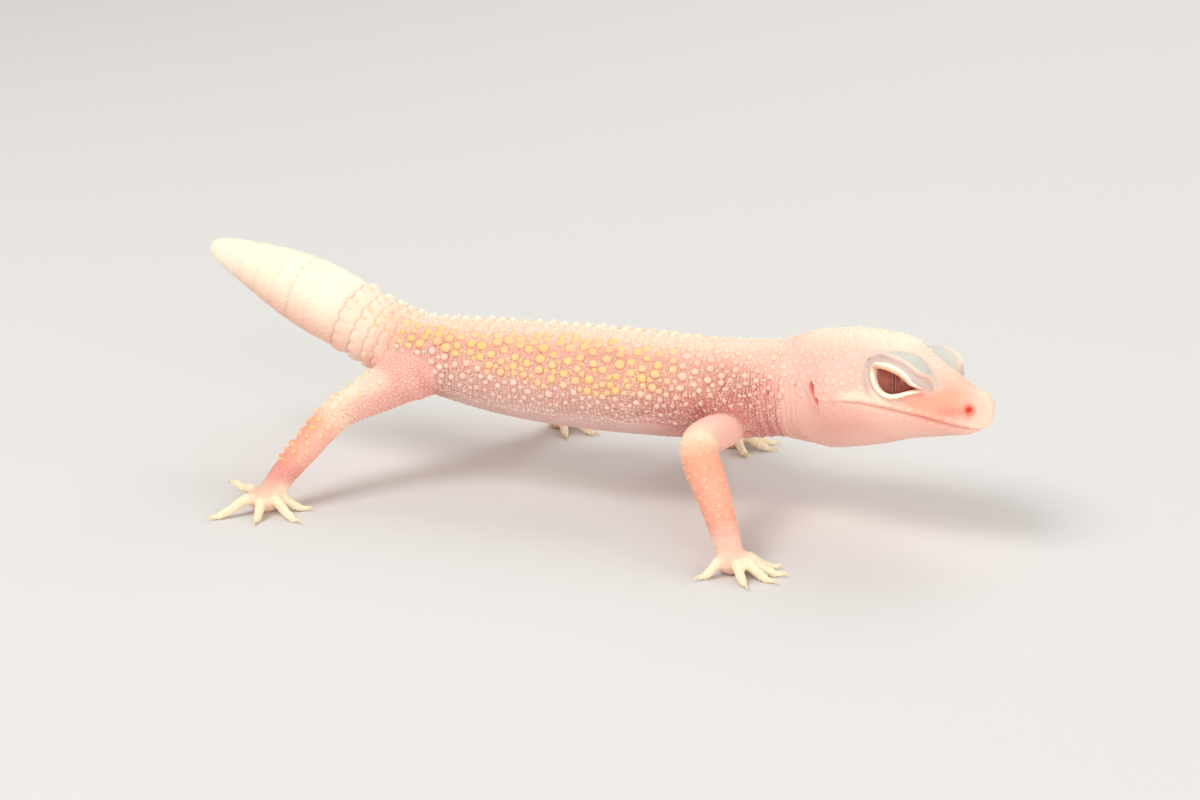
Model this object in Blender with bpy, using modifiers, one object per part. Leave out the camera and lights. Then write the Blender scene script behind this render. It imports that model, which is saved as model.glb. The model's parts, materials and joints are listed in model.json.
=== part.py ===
"""A leopard gecko standing on its four feet, as a life-size still model.

Lengths are in millimetres, which MM turns into Blender's metres. The trunk points along +X, +Y is
the animal's left and +Z is up. The floor is z = 0 and the origin is under the middle of the model.
The flesh is modelled whole, as lofts, tubes and balls that one skin joins, and is then parted by
thin cuts where the head, neck, trunk, tail and limb segments meet. Eyes and claws are pieces of
their own.
"""

import math

import bmesh
import bpy
from mathutils import Matrix, Vector

MM = 0.001
UP = Vector((0.0, 0.0, 1.0))

# The width of every parting cut, and the play round each eye and behind each claw.
GAP = 0.3

# Skin: how finely the joined body is skinned, and how many faces its solids keep.
BODY_VOXEL = 0.6
SKIN_VOXEL = 0.42
BODY_RELAX_ROUNDS = 9
SKIN_RELAX_ROUNDS = 2
SKIN_TRIANGLES = 4200
CRUMB_POINTS = 30
SHARP_EDGE = math.radians(50.0)

# Rings of the lofted cages. Subdivision pulls a ring of n corners in by this share.
RING_CORNERS = 12
TRUNK_FULLNESS = 2.15
HEAD_FULLNESS = 2.2
CAGE_SWELL = 6.0 / (4.0 + 2.0 * math.cos(2.0 * math.pi / RING_CORNERS))

# Spine, from inside the head to the tail's tip: place, half width, height above and depth below.
SPINE = (
    (46.7, -0.9, 22.6, 8.8, 9.4, 7.8),
    (39.7, 0.9, 22.4, 8.8, 9.5, 8.7),
    (32.9, 1.7, 22.0, 9.6, 8.9, 9.5),
    (25.9, 1.7, 21.5, 10.7, 8.7, 9.7),
    (15.9, 1.7, 21.2, 11.8, 9.0, 9.6),
    (4.9, 1.7, 21.2, 12.4, 9.2, 9.6),
    (-6.1, 1.7, 21.3, 12.3, 9.1, 9.3),
    (-16.1, 1.7, 21.5, 11.2, 8.8, 8.5),
    (-24.1, 1.7, 22.0, 9.8, 8.1, 7.4),
    (-31.1, 1.9, 22.7, 8.6, 7.2, 6.8),
    (-37.1, 2.6, 24.0, 7.5, 6.8, 6.6),
    (-42.6, 3.6, 26.2, 6.8, 6.8, 6.8),
    (-47.6, 4.3, 28.4, 7.0, 7.0, 6.9),
    (-52.1, 4.9, 30.2, 7.4, 7.5, 7.3),
    (-59.1, 5.8, 32.9, 7.0, 7.1, 6.8),
    (-67.1, 6.8, 35.7, 5.2, 5.2, 5.0),
    (-74.6, 7.7, 38.0, 3.3, 3.3, 3.2),
    (-77.7, 8.1, 38.8, 2.0, 2.0, 2.0),
)

# How far the spine's loft runs on past its first and last stations.
NECK_POLE, TAIL_POLE = 4.0, 0.9

# Cuts across the spine: the station ahead of each, the share of the way to the next one, and its radius.
SPINE_CUTS = {"neck_cut": (1, 0.55, 13.0), "tail_cut": (10, 0.45, 9.0), "regrowth_cut": (12, 0.2, 10.0)}
NAPE_CUT = Vector((36.0, 0.0, 1.5))
NAPE_DISC = 16.0

# Head frame: the snout's tip, and how the head is turned towards the animal's right side.
SNOUT = Vector((77.8, -10.1, 25.3))
HEAD_YAW = math.radians(-18.7)
HEAD_PITCH = math.radians(5.7)
HEAD_ROLL = math.radians(-10.0)

# Head sections: distance behind the snout's tip, half width, height above and depth below the axis.
HEAD_SECTIONS = (
    (0.3, 2.3, 1.9, 2.2),
    (1.5, 3.9, 3.2, 3.7),
    (4.5, 5.4, 4.7, 4.6),
    (9.0, 7.0, 6.9, 5.0),
    (14.0, 8.7, 10.5, 5.7),
    (19.0, 10.7, 12.5, 7.1),
    (25.0, 12.0, 13.1, 8.5),
    (31.0, 11.2, 12.8, 9.1),
    (36.5, 9.6, 12.0, 8.6),
    (40.5, 8.6, 10.6, 8.0),
)
HEAD_FRONT_POLE = Vector((-0.5, 0.0, -0.2))
HEAD_BACK_POLE = Vector((43.0, 0.0, 0.5))

# Eyes: place in the head frame (behind the snout, out from the middle, above the axis) and radius.
EYE_PLACE = Vector((14.9, 6.1, 5.3))
EYE_RADIUS = 4.5
LID_THICKNESS = 0.8
# Which way the eye looks, in the head frame, and the slit between the lids: half its length, how far it
# opens below and above its corners, and how far its front corner is turned down.
EYE_OUTLOOK = Vector((-0.30, 1.0, 0.0))
SLIT_HALF_LENGTH = 4.2
SLIT_BELOW = 3.1
SLIT_ABOVE = 0.4
SLIT_TILT = math.radians(20.0)
SLIT_POINTS = 24
# The slit's cut runs between these distances out from the eye's middle.
SLIT_DEPTHS = (1.0, 9.0)

# The mouth's line in the head frame, as distance behind the snout and height, then down the jaw's back.
MOUTH_LINE = ((-3.0, -3.6), (0.0, -3.0), (4.0, -2.1), (9.0, -0.9), (15.0, 0.2), (20.0, 0.9), (24.4, 0.7),
              (27.0, -1.9), (28.0, -16.0))

# Cheek muscle and snout end in the head frame: their places and half sizes.
CHEEK_PLACE = Vector((25.5, 7.6, 1.2))
CHEEK_SIZE = (6.6, 5.0, 6.4)
SNOUT_END_PLACE = Vector((3.4, 0.0, 0.1))
SNOUT_END_SIZE = (3.6, 4.7, 4.1)
ORBIT_STRETCH = 1.12

EAR_PLACE = Vector((29.5, 11.3, 2.4))
MOUTH_HALF_WIDTH = 18.0
EAR_SIZE = (0.75, 1.7, 2.3)
NOSTRIL_PLACE = Vector((3.0, 4.4, 0.5))
NOSTRIL_RADIUS = 0.55

# Limbs. Each is a chain of joints; its radii run from the first joint to the last.
ARM_RADII = (4.2, 3.8, 3.6, 3.8, 3.3, 2.8)
LEG_RADII = (5.6, 4.7, 3.5, 3.2, 2.9, 2.7)
LIMBS = {
    "front_right": {"root": (31.9, -3.8, 18.4), "bend": (27.4, -17.8, 16.6), "end": (36.5, -32.5, 5.9),
                    "palm": (37.8, -34.0, 2.0)},
    "front_left": {"root": (30.9, 7.2, 18.4), "bend": (18.4, 19.9, 18.5), "end": (20.9, 28.7, 5.9),
                   "palm": (21.4, 30.3, 2.0)},
    "hind_right": {"root": (-31.1, -1.9, 21.2), "bend": (-42.5, -16.0, 15.0), "end": (-49.1, -27.2, 6.0),
                   "palm": (-51.4, -29.3, 2.0)},
    "hind_left": {"root": (-30.1, 5.5, 20.6), "bend": (-20.1, 20.1, 18.6), "end": (-15.7, 29.9, 6.0),
                  "palm": (-14.5, 32.1, 2.0)},
}
# The haunches, where the thighs spread onto the trunk.
HAUNCHES = {"right": (-31.0, -6.0, 20.6), "left": (-28.5, 9.4, 20.6)}
HAUNCH_SIZE = (5.6, 5.2, 4.7)
# How far from its root each limb is parted from the trunk, and the radii of the discs that part it there,
# at its elbow or knee and at its wrist or ankle.
ROOT_CUTS = {"front_right": 9.6, "front_left": 12.0, "hind_right": 10.4, "hind_left": 14.0}
ROOT_DISC, BEND_DISC, END_DISC = 7.0, 6.5, 4.0
WRIST_RADIUS = 2.2
PALM_SIZE = {"front": (2.9, 2.7, 2.3), "hind": (3.2, 2.9, 2.3)}

# Digits, first to fifth: bearing from +X in degrees and reach from the palm's centre to the tip.
DIGITS = {
    "front_right": ((26.0, 6.8), (2.0, 7.6), (-22.0, 7.4), (-58.0, 6.7), (-129.0, 5.7)),
    "front_left": ((-50.0, 6.2), (-4.0, 7.6), (22.0, 7.8), (56.0, 7.4), (104.0, 6.2)),
    "hind_right": ((12.0, 6.6), (-30.0, 8.4), (-80.0, 6.4), (-132.0, 9.2), (154.0, 8.2)),
    "hind_left": ((-62.0, 6.6), (-22.0, 8.0), (14.0, 9.0), (50.0, 9.4), (104.0, 7.6)),
}
# The fifth toe of the right hind foot is held off the floor by this much at its tip.
LIFTED_DIGIT = ("hind_right", 5)
LIFT = 2.6
# Each digit starts this share of its reach out from the palm's centre.
DIGIT_START = 0.12
DIGIT_RADII = (1.25, 1.05, 0.9, 0.8)
DIGIT_HEIGHTS = (2.4, 2.8, 1.5, 0.6)
CLAW_LENGTH = 1.4
CLAW_RADII = (0.42, 0.34, 0.25)
CLAW_FLOOR = 0.3
# How far along its length a claw is highest, how high it arches, and how far the lifted toe's claw drops.
CLAW_CREST = 0.55
CLAW_ARCH = 0.15
CLAW_DROP = 0.6

# The block that is cut away under the floor.
FLOOR_BLOCK = (300.0, 200.0, 20.0)


def clear_scene():
    for obj in list(bpy.data.objects):
        bpy.data.objects.remove(obj)


def make_collection(name):
    collection = bpy.data.collections.new(name)
    bpy.context.scene.collection.children.link(collection)
    return collection


def make_material(name, colour, roughness):
    material = bpy.data.materials.new(name)
    material.use_nodes = True
    shader = material.node_tree.nodes["Principled BSDF"]
    shader.inputs["Base Color"].default_value = (*colour, 1.0)
    shader.inputs["Roughness"].default_value = roughness
    return material


def place(obj, collection):
    """Moves an object out of whatever collection it was made in, into this one."""
    for owner in list(obj.users_collection):
        owner.objects.unlink(obj)
    collection.objects.link(obj)
    return obj


def new_object(name, mesh, collection):
    obj = bpy.data.objects.new(name, mesh)
    collection.objects.link(obj)
    return obj


def head_frame():
    """The matrix from head coordinates (backwards, to the animal's left, up) to the model's millimetres."""
    turn = Matrix.Rotation(HEAD_YAW, 3, "Z") @ Matrix.Rotation(-HEAD_PITCH, 3, "Y")
    turn = turn @ Matrix.Rotation(HEAD_ROLL, 3, "X")
    return Matrix.Translation(SNOUT) @ turn.to_4x4() @ Matrix.Diagonal((-1.0, 1.0, 1.0, 1.0))


def in_head(place_in_head, side=0.0):
    """A head place in the model's millimetres. side is -1 for the right, 1 for the left, 0 for the middle."""
    behind, out, height = place_in_head
    return head_frame() @ Vector((behind, out * side, height))


def loft(name, rings, front_pole, back_pole, collection):
    """A closed, subdivided cage through rings of RING_CORNERS points, from the front pole to the back one."""
    mesh = bpy.data.meshes.new(name)
    builder = bmesh.new()
    corners = [[builder.verts.new(p * MM) for p in ring] for ring in rings]
    for ring, following in zip(corners, corners[1:]):
        for k in range(RING_CORNERS):
            following_k = (k + 1) % RING_CORNERS
            builder.faces.new((ring[k], ring[following_k], following[following_k], following[k]))
    for ring, pole in ((corners[0], front_pole), (corners[-1], back_pole)):
        tip = builder.verts.new(pole * MM)
        for k in range(RING_CORNERS):
            builder.faces.new((ring[k], ring[(k + 1) % RING_CORNERS], tip))
    bmesh.ops.recalc_face_normals(builder, faces=builder.faces)
    builder.to_mesh(mesh)
    builder.free()
    obj = new_object(name, mesh, collection)
    smooth = obj.modifiers.new("Subdivision", "SUBSURF")
    smooth.levels = smooth.render_levels = 2
    return obj


def oval_ring(centre, side, up, half_width, above, below, fullness):
    """RING_CORNERS points round centre. fullness 2 is an ellipse, and more is squarer."""
    points = []
    for k in range(RING_CORNERS):
        angle = 2.0 * math.pi * (k + 0.5) / RING_CORNERS
        c, s = math.cos(angle), math.sin(angle)
        across = math.copysign(abs(c) ** (2.0 / fullness), c) * half_width
        height = math.copysign(abs(s) ** (2.0 / fullness), s) * (above if s > 0 else below)
        points.append(centre + (side * across + up * height) * CAGE_SWELL)
    return points


def body_loft(collection):
    """Neck, trunk and tail: one loft along the spine."""
    centres = [Vector(station[:3]) for station in SPINE]
    rings = []
    for i, (half_width, above, below) in enumerate(station[3:] for station in SPINE):
        ahead = centres[max(i - 1, 0)] - centres[min(i + 1, len(centres) - 1)]
        side = UP.cross(ahead).normalized()
        up = ahead.cross(side).normalized()
        rings.append(oval_ring(centres[i], side, up, half_width, above, below, TRUNK_FULLNESS))
    front_pole = centres[0] + (centres[0] - centres[1]).normalized() * NECK_POLE
    back_pole = centres[-1] + (centres[-1] - centres[-2]).normalized() * TAIL_POLE
    return loft("body", rings, front_pole, back_pole, collection)


def head_loft(collection):
    """The head from the snout's tip to the nape: one loft along the head's axis."""
    frame = head_frame()
    side = (frame @ Vector((0, 1, 0)) - frame @ Vector((0, 0, 0))).normalized()
    up = (frame @ Vector((0, 0, 1)) - frame @ Vector((0, 0, 0))).normalized()
    rings = []
    for behind, half_width, above, below in HEAD_SECTIONS:
        rings.append(oval_ring(in_head((behind, 0, 0)), side, up, half_width, above, below, HEAD_FULLNESS))
    return loft("head", rings, in_head(HEAD_FRONT_POLE), in_head(HEAD_BACK_POLE), collection)


def ball(name, centre, size, turn, collection, segments=24, rings=14):
    bpy.ops.mesh.primitive_uv_sphere_add(segments=segments, ring_count=rings, radius=MM)
    obj = place(bpy.context.object, collection)
    obj.name = name
    obj.data.transform(Matrix.Diagonal((*size, 1.0)))
    obj.matrix_world = Matrix.Translation(centre * MM) @ turn.to_4x4()
    return obj


def through(points, per_span):
    """Points on a smooth curve through the given ones (Catmull-Rom)."""
    ends = [points[0] * 2 - points[1], *points, points[-1] * 2 - points[-2]]
    found = []
    for a, b, c, d in zip(ends, ends[1:], ends[2:], ends[3:]):
        for k in range(per_span):
            t = k / per_span
            found.append(0.5 * (2 * b + (c - a) * t + (2 * a - 5 * b + 4 * c - d) * t ** 2
                                + (3 * b - a - 3 * c + d) * t ** 3))
    return [*found, points[-1]]


def tube(name, points, radii, collection, per_span=3, bevel_resolution=3):
    """A round bar through points, whose radius runs evenly through the given ones."""
    curve = bpy.data.curves.new(name, "CURVE")
    curve.dimensions = "3D"
    curve.bevel_depth = MM
    curve.bevel_resolution = bevel_resolution
    curve.use_fill_caps = True
    path = through(points, per_span)
    spline = curve.splines.new("POLY")
    spline.points.add(len(path) - 1)
    for k, (spot, point) in enumerate(zip(spline.points, path)):
        along = k / (len(path) - 1) * (len(radii) - 1)
        low = min(int(along), len(radii) - 2)
        spot.co = (*(point * MM), 1.0)
        spot.radius = radii[low] + (radii[low + 1] - radii[low]) * (along - low)
    return new_object(name, curve, collection)


def as_mesh(obj, collection):
    """A mesh object of what this object's curve or modifiers make, caps welded. The object is removed."""
    bpy.context.view_layer.update()
    evaluated = obj.evaluated_get(bpy.context.evaluated_depsgraph_get())
    mesh = bpy.data.meshes.new_from_object(evaluated)
    mesh.transform(obj.matrix_world)
    builder = bmesh.new()
    builder.from_mesh(mesh)
    bmesh.ops.remove_doubles(builder, verts=builder.verts, dist=1e-6)
    bmesh.ops.recalc_face_normals(builder, faces=builder.faces)
    builder.to_mesh(mesh)
    builder.free()
    name = obj.name
    bpy.data.objects.remove(obj)
    return new_object(name, mesh, collection)


def joined(name, objects, collection):
    """One mesh object that holds all of these, overlapping as they are."""
    whole = bmesh.new()
    for obj in objects:
        solid = as_mesh(obj, collection)
        whole.from_mesh(solid.data)
        bpy.data.objects.remove(solid)
    mesh = bpy.data.meshes.new(name)
    whole.to_mesh(mesh)
    whole.free()
    return new_object(name, mesh, collection)


def skinned(obj, voxel, rounds, collection):
    """The outer skin of overlapping solids, evened out."""
    remesh = obj.modifiers.new("Remesh", "REMESH")
    remesh.mode = "VOXEL"
    remesh.voxel_size = voxel * MM
    relax = obj.modifiers.new("Smooth", "SMOOTH")
    relax.factor = 0.5
    relax.iterations = rounds
    return as_mesh(obj, collection)


def limb_bars(collection):
    """The four limbs, each one bar from its root to its wrist or ankle, and the haunches."""
    bars = []
    for limb, joints in LIMBS.items():
        radii = ARM_RADII if limb.startswith("front") else LEG_RADII
        points = [Vector(joints[k]) for k in ("root", "bend", "end")]
        middles = [points[0].lerp(points[1], 0.5), points[1].lerp(points[2], 0.5)]
        route = [points[0], middles[0], points[1], middles[1], points[2]]
        bars.append(tube(limb, route, radii, collection))
        bars.append(tube(limb + "_wrist", [points[2], Vector(joints["palm"])], (radii[-1], WRIST_RADIUS),
                         collection))
    for side, middle_place in HAUNCHES.items():
        bars.append(ball("haunch_" + side, Vector(middle_place), HAUNCH_SIZE, Matrix.Identity(3), collection))
    return bars


def head_masses(collection):
    """What stands out of the head's loft on both sides: the orbits and the cheek muscles."""
    turn = head_frame().to_3x3() @ Matrix.Diagonal((-1.0, 1.0, 1.0))
    orbit = EYE_RADIUS + LID_THICKNESS
    orbit_size = (orbit * ORBIT_STRETCH, orbit, orbit)
    masses = []
    for side in (-1.0, 1.0):
        masses.append(ball("orbit", in_head(EYE_PLACE, side), orbit_size, turn, collection))
        masses.append(ball("cheek", in_head(CHEEK_PLACE, side), CHEEK_SIZE, turn, collection))
    masses.append(ball("snout_end", in_head(SNOUT_END_PLACE), SNOUT_END_SIZE, turn, collection))
    return masses


def digit_route(limb, number):
    """The centre line of one digit, from inside the palm to its tip."""
    bearing, reach = DIGITS[limb][number - 1]
    palm = Vector(LIMBS[limb]["palm"])
    out = Vector((math.cos(math.radians(bearing)), math.sin(math.radians(bearing)), 0.0))
    lifted = (limb, number) == LIFTED_DIGIT
    route = []
    for k, height in enumerate(DIGIT_HEIGHTS):
        share = DIGIT_START + (1.0 - DIGIT_START) * k / (len(DIGIT_HEIGHTS) - 1)
        raised = LIFT * share ** 2 if lifted else 0.0
        level = Vector((palm.x, palm.y, height + raised))
        route.append(level + out * (reach * share))
    return route


def feet(collection):
    """The palms with their five digits, which overlap the ends of the limb bars."""
    solids = []
    for limb, joints in LIMBS.items():
        size = PALM_SIZE[limb.split("_")[0]]
        solids.append(ball(limb + "_palm", Vector(joints["palm"]), size, Matrix.Identity(3), collection))
        for number in range(1, 6):
            route = digit_route(limb, number)
            solids.append(tube(f"{limb}_digit{number}", route, DIGIT_RADII, collection, 3, 2))
            solids.append(ball(f"{limb}_tip{number}", route[-1], (DIGIT_RADII[-1],) * 3, Matrix.Identity(3),
                               collection, 12, 8))
    return solids


def ribbon_cutter(name, line, half_width, collection):
    """A thin wall along a line of head places, GAP thick and wide enough to pass through the head."""
    mesh = bpy.data.meshes.new(name)
    builder = bmesh.new()
    rows = []
    for i, (behind, height) in enumerate(line):
        before, after = line[max(i - 1, 0)], line[min(i + 1, len(line) - 1)]
        run = Vector((after[0] - before[0], after[1] - before[1])).normalized() * (GAP / 2)
        for sign in (-1.0, 1.0):
            spot = Vector((behind - run.y * sign, 0.0, height + run.x * sign))
            rows.append([builder.verts.new(head_frame() @ Vector((spot.x, y, spot.z)) * MM)
                         for y in (-half_width, half_width)])
    under, over = rows[0::2], rows[1::2]
    for a, b, c, d in zip(under, under[1:], over, over[1:]):
        builder.faces.new((a[0], b[0], b[1], a[1]))
        builder.faces.new((c[0], d[0], d[1], c[1]))
        builder.faces.new((a[0], b[0], d[0], c[0]))
        builder.faces.new((a[1], b[1], d[1], c[1]))
    for a, c in ((under[0], over[0]), (under[-1], over[-1])):
        builder.faces.new((a[0], a[1], c[1], c[0]))
    bmesh.ops.recalc_face_normals(builder, faces=builder.faces)
    builder.to_mesh(mesh)
    builder.free()
    return new_object(name, mesh, collection)


def slab_cutter(name, centre, normal, radius, collection):
    """A thin disc that parts whatever passes through it."""
    bpy.ops.mesh.primitive_cylinder_add(vertices=32, radius=radius * MM, depth=GAP * MM)
    obj = place(bpy.context.object, collection)
    obj.name = name
    obj.matrix_world = Matrix.Translation(centre * MM) @ normal.to_track_quat("Z", "Y").to_matrix().to_4x4()
    return obj


def spine_cut(name, index, share, radius, collection):
    """A cut across the spine between two stations."""
    a, b = Vector(SPINE[index][:3]), Vector(SPINE[index + 1][:3])
    return slab_cutter(name, a.lerp(b, share), (b - a).normalized(), radius, collection)


def limb_cuts(collection):
    """Cuts at each limb's root, at its elbow or knee, and at its wrist or ankle."""
    cuts = []
    for limb, joints in LIMBS.items():
        root, bend, end, palm = (Vector(joints[k]) for k in ("root", "bend", "end", "palm"))
        upper = (bend - root).normalized()
        lower = (end - bend).normalized()
        last = (palm - end).normalized()
        outward = Vector((0.0, math.copysign(1.0, root.y), 0.0))
        places = {"root": (root + upper * ROOT_CUTS[limb], upper + outward, ROOT_DISC),
                  "bend": (bend, upper + lower, BEND_DISC),
                  "end": (end, lower + last, END_DISC)}
        for word, (centre, normal, radius) in places.items():
            cuts.append(slab_cutter(f"{limb}_{word}_cut", centre, normal.normalized(), radius, collection))
    return cuts


def eye_turn(side):
    """The eye's own axes as columns: backwards, up along the slit's height, and out of the head."""
    frame = head_frame().to_3x3()
    out = (frame @ Vector((EYE_OUTLOOK.x, side, EYE_OUTLOOK.z))).normalized()
    up = frame @ Vector((0, 0, 1))
    up = (up - out * up.dot(out)).normalized()
    back = up.cross(out).normalized() * side
    tilt = Matrix.Rotation(SLIT_TILT * side, 3, out)
    return tilt @ back, tilt @ up, out


def slit_cutter(name, side, collection):
    """The opening between the lids, cut from outside to near the eye's middle."""
    back, up, out = eye_turn(side)
    centre = in_head(EYE_PLACE, side)
    outline = []
    for k in range(SLIT_POINTS):
        angle = 2.0 * math.pi * k / SLIT_POINTS
        reach = SLIT_BELOW if math.sin(angle) > 0.0 else SLIT_ABOVE
        outline.append((-math.cos(angle) * SLIT_HALF_LENGTH, -math.sin(angle) * reach))
    mesh = bpy.data.meshes.new(name)
    builder = bmesh.new()
    inner, outer = ([builder.verts.new((centre + back * x + up * y + out * depth) * MM) for x, y in outline]
                    for depth in SLIT_DEPTHS)
    for k in range(len(outline)):
        n = (k + 1) % len(outline)
        builder.faces.new((inner[k], inner[n], outer[n], outer[k]))
    builder.faces.new(inner)
    builder.faces.new(outer)
    bmesh.ops.recalc_face_normals(builder, faces=builder.faces)
    builder.to_mesh(mesh)
    builder.free()
    return new_object(name, mesh, collection)


def head_cuts(collection):
    """Sockets, lid slits, ear and nostril pits, and the mouth's line."""
    turn = head_frame().to_3x3() @ Matrix.Diagonal((-1.0, 1.0, 1.0))
    cuts = [ribbon_cutter("mouth_cut", MOUTH_LINE, MOUTH_HALF_WIDTH, collection)]
    for side, word in ((-1.0, "right"), (1.0, "left")):
        socket = EYE_RADIUS + GAP
        cuts.append(ball("socket_" + word, in_head(EYE_PLACE, side), (socket,) * 3, turn, collection, 18, 10))
        cuts.append(slit_cutter("slit_" + word, side, collection))
        cuts.append(ball("ear_pit_" + word, in_head(EAR_PLACE, side), EAR_SIZE, turn, collection, 10, 6))
        nostril = in_head(NOSTRIL_PLACE, side)
        cuts.append(ball("nostril_" + word, nostril, (NOSTRIL_RADIUS,) * 3, turn, collection, 8, 5))
    return cuts


def floor_cutter(collection):
    """Everything under the floor, which leaves small flats under the feet."""
    bpy.ops.mesh.primitive_cube_add(size=1.0)
    obj = place(bpy.context.object, collection)
    obj.name = "floor_cut"
    length, width, depth = FLOOR_BLOCK
    obj.data.transform(Matrix.Diagonal((length * MM, width * MM, depth * MM, 1.0)))
    obj.matrix_world = Matrix.Translation((0.0, 0.0, -depth / 2 * MM))
    return obj


def cut(obj, cutters, collection):
    """obj less all of the cutters, as a mesh. The cutters stay as hidden helpers."""
    for cutter in cutters:
        cutter.hide_render = True
        cutter.display_type = "WIRE"
        difference = obj.modifiers.new("Cut", "BOOLEAN")
        difference.operation = "DIFFERENCE"
        difference.solver = "EXACT"
        difference.object = cutter
    return as_mesh(obj, collection)


def loose_parts(obj):
    """The separate bodies of a mesh, each an object of its own. Crumbs are dropped."""
    bpy.ops.object.select_all(action="DESELECT")
    obj.select_set(True)
    bpy.context.view_layer.objects.active = obj
    bpy.ops.mesh.separate(type="LOOSE")
    parts = []
    for part in list(bpy.context.selected_objects):
        if len(part.data.vertices) < CRUMB_POINTS:
            bpy.data.objects.remove(part)
        else:
            parts.append(part)
    return parts


def middle(obj):
    """The middle of a mesh's box, in millimetres."""
    corners = [v.co for v in obj.data.vertices]
    low = Vector([min(c[k] for c in corners) for k in range(3)])
    high = Vector([max(c[k] for c in corners) for k in range(3)])
    return (low + high) / (2 * MM)


def landmarks():
    """Where the middle of each flesh piece is looked for."""
    found = {
        "head": in_head((20.0, 0.0, 4.0)),
        "lower_jaw": in_head((14.0, 0.0, -5.0)),
        "neck": Vector(SPINE[1][:3]),
        "trunk": Vector(SPINE[5][:3]),
        "tail_base": Vector(SPINE[12][:3]),
        "tail_tip": Vector(SPINE[15][:3]),
    }
    names = {"front": ("upper_arm", "forearm", "hand"), "hind": ("thigh", "shank", "foot")}
    for limb, joints in LIMBS.items():
        upper, lower, last = names[limb.split("_")[0]]
        side = limb.split("_")[1]
        root, bend, end, palm = (Vector(joints[k]) for k in ("root", "bend", "end", "palm"))
        found[f"{upper}_{side}"] = root.lerp(bend, 0.75)
        found[f"{lower}_{side}"] = bend.lerp(end, 0.5)
        found[f"{last}_{side}"] = palm
    return found


def name_parts(parts, skin):
    """Gives each landmark the nearest part that is still unnamed."""
    pairs = sorted(((middle(part) - spot).length, name, i)
                   for name, spot in landmarks().items() for i, part in enumerate(parts))
    named, used = {}, set()
    for _, name, i in pairs:
        if name not in named and i not in used:
            named[name] = parts[i]
            used.add(i)
    for name, part in named.items():
        part.name = name
        part.data.name = name
        part.data.materials.append(skin)
        part.data.shade_smooth()
        part.data.set_sharp_from_angle(angle=SHARP_EDGE)
    for i, part in enumerate(parts):
        if i not in used:
            bpy.data.objects.remove(part)


def build_flesh(collection, helpers, skin):
    body = [body_loft(helpers), head_loft(helpers), *head_masses(helpers), *limb_bars(helpers)]
    whole = skinned(joined("whole", body, helpers), BODY_VOXEL, BODY_RELAX_ROUNDS, helpers)
    whole = skinned(joined("whole", [whole, *feet(helpers)], helpers), SKIN_VOXEL, SKIN_RELAX_ROUNDS, helpers)
    reduce = whole.modifiers.new("Decimate", "DECIMATE")
    reduce.ratio = SKIN_TRIANGLES / sum(len(p.vertices) - 2 for p in whole.data.polygons)
    whole = as_mesh(whole, helpers)
    cutters = [floor_cutter(helpers), *head_cuts(helpers), *limb_cuts(helpers)]
    backwards = in_head((1, 0, 0)) - in_head((0, 0, 0))
    cutters.append(slab_cutter("nape_cut", in_head(NAPE_CUT), backwards, NAPE_DISC, helpers))
    for name, cut_place in SPINE_CUTS.items():
        cutters.append(spine_cut(name, *cut_place, helpers))
    name_parts(loose_parts(cut(whole, cutters, collection)), skin)


def build_eyes(collection, material):
    for side, word in ((-1.0, "right"), (1.0, "left")):
        centre = in_head(EYE_PLACE, side)
        eye = ball("eye_" + word, centre, (EYE_RADIUS,) * 3, Matrix.Identity(3), collection, 20, 10)
        eye.data.materials.append(material)
        eye.data.shade_smooth()


def build_claws(collection, material):
    """Twenty hooked claws, each a short way off its digit's tip."""
    for limb in LIMBS:
        for number in range(1, 6):
            before, tip = digit_route(limb, number)[-2:]
            out = Vector((tip.x - before.x, tip.y - before.y, 0.0)).normalized()
            start = tip + out * (DIGIT_RADII[-1] + GAP * 0.6)
            drop = CLAW_DROP if (limb, number) == LIFTED_DIGIT else start.z - CLAW_FLOOR
            crest = start + out * (CLAW_LENGTH * CLAW_CREST) + UP * CLAW_ARCH
            route = [start, crest, start + out * CLAW_LENGTH - UP * drop]
            claw = as_mesh(tube(f"claw_{limb}_{number}", route, CLAW_RADII, collection, 1, 1), collection)
            claw.data.materials.append(material)
            claw.data.shade_smooth()


def main():
    clear_scene()
    gecko = make_collection("leopard_gecko")
    helpers = make_collection("helpers")
    skin = make_material("skin", (0.93, 0.68, 0.60), 0.5)
    eye = make_material("eye", (0.30, 0.09, 0.05), 0.1)
    claw = make_material("claw", (0.96, 0.90, 0.72), 0.35)
    build_flesh(gecko, helpers, skin)
    build_eyes(gecko, eye)
    build_claws(gecko, claw)


main()
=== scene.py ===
"""A museum model of a leopard gecko: one skin with its folds, its coat of scales, lids, eyes and claws.

Tables and arrays are in millimetres and meshes in metres. +X runs towards the head, +Y is the animal's left
and +Z is up. The flesh is rebuilt from the same stations and joints as the frame's solids, joined into one
skin, refined where the detail is and then carved. The scales stand on that skin as small closed domes, and
skin and scales read the same markings.
"""

import json
import logging
import math
from collections.abc import Callable
from dataclasses import dataclass, field
from enum import Enum

import bpy
import numpy as np
from mathutils import Matrix, Vector
from mathutils.bvhtree import BVHTree
from mathutils.kdtree import KDTree
from numpy.typing import NDArray

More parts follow.
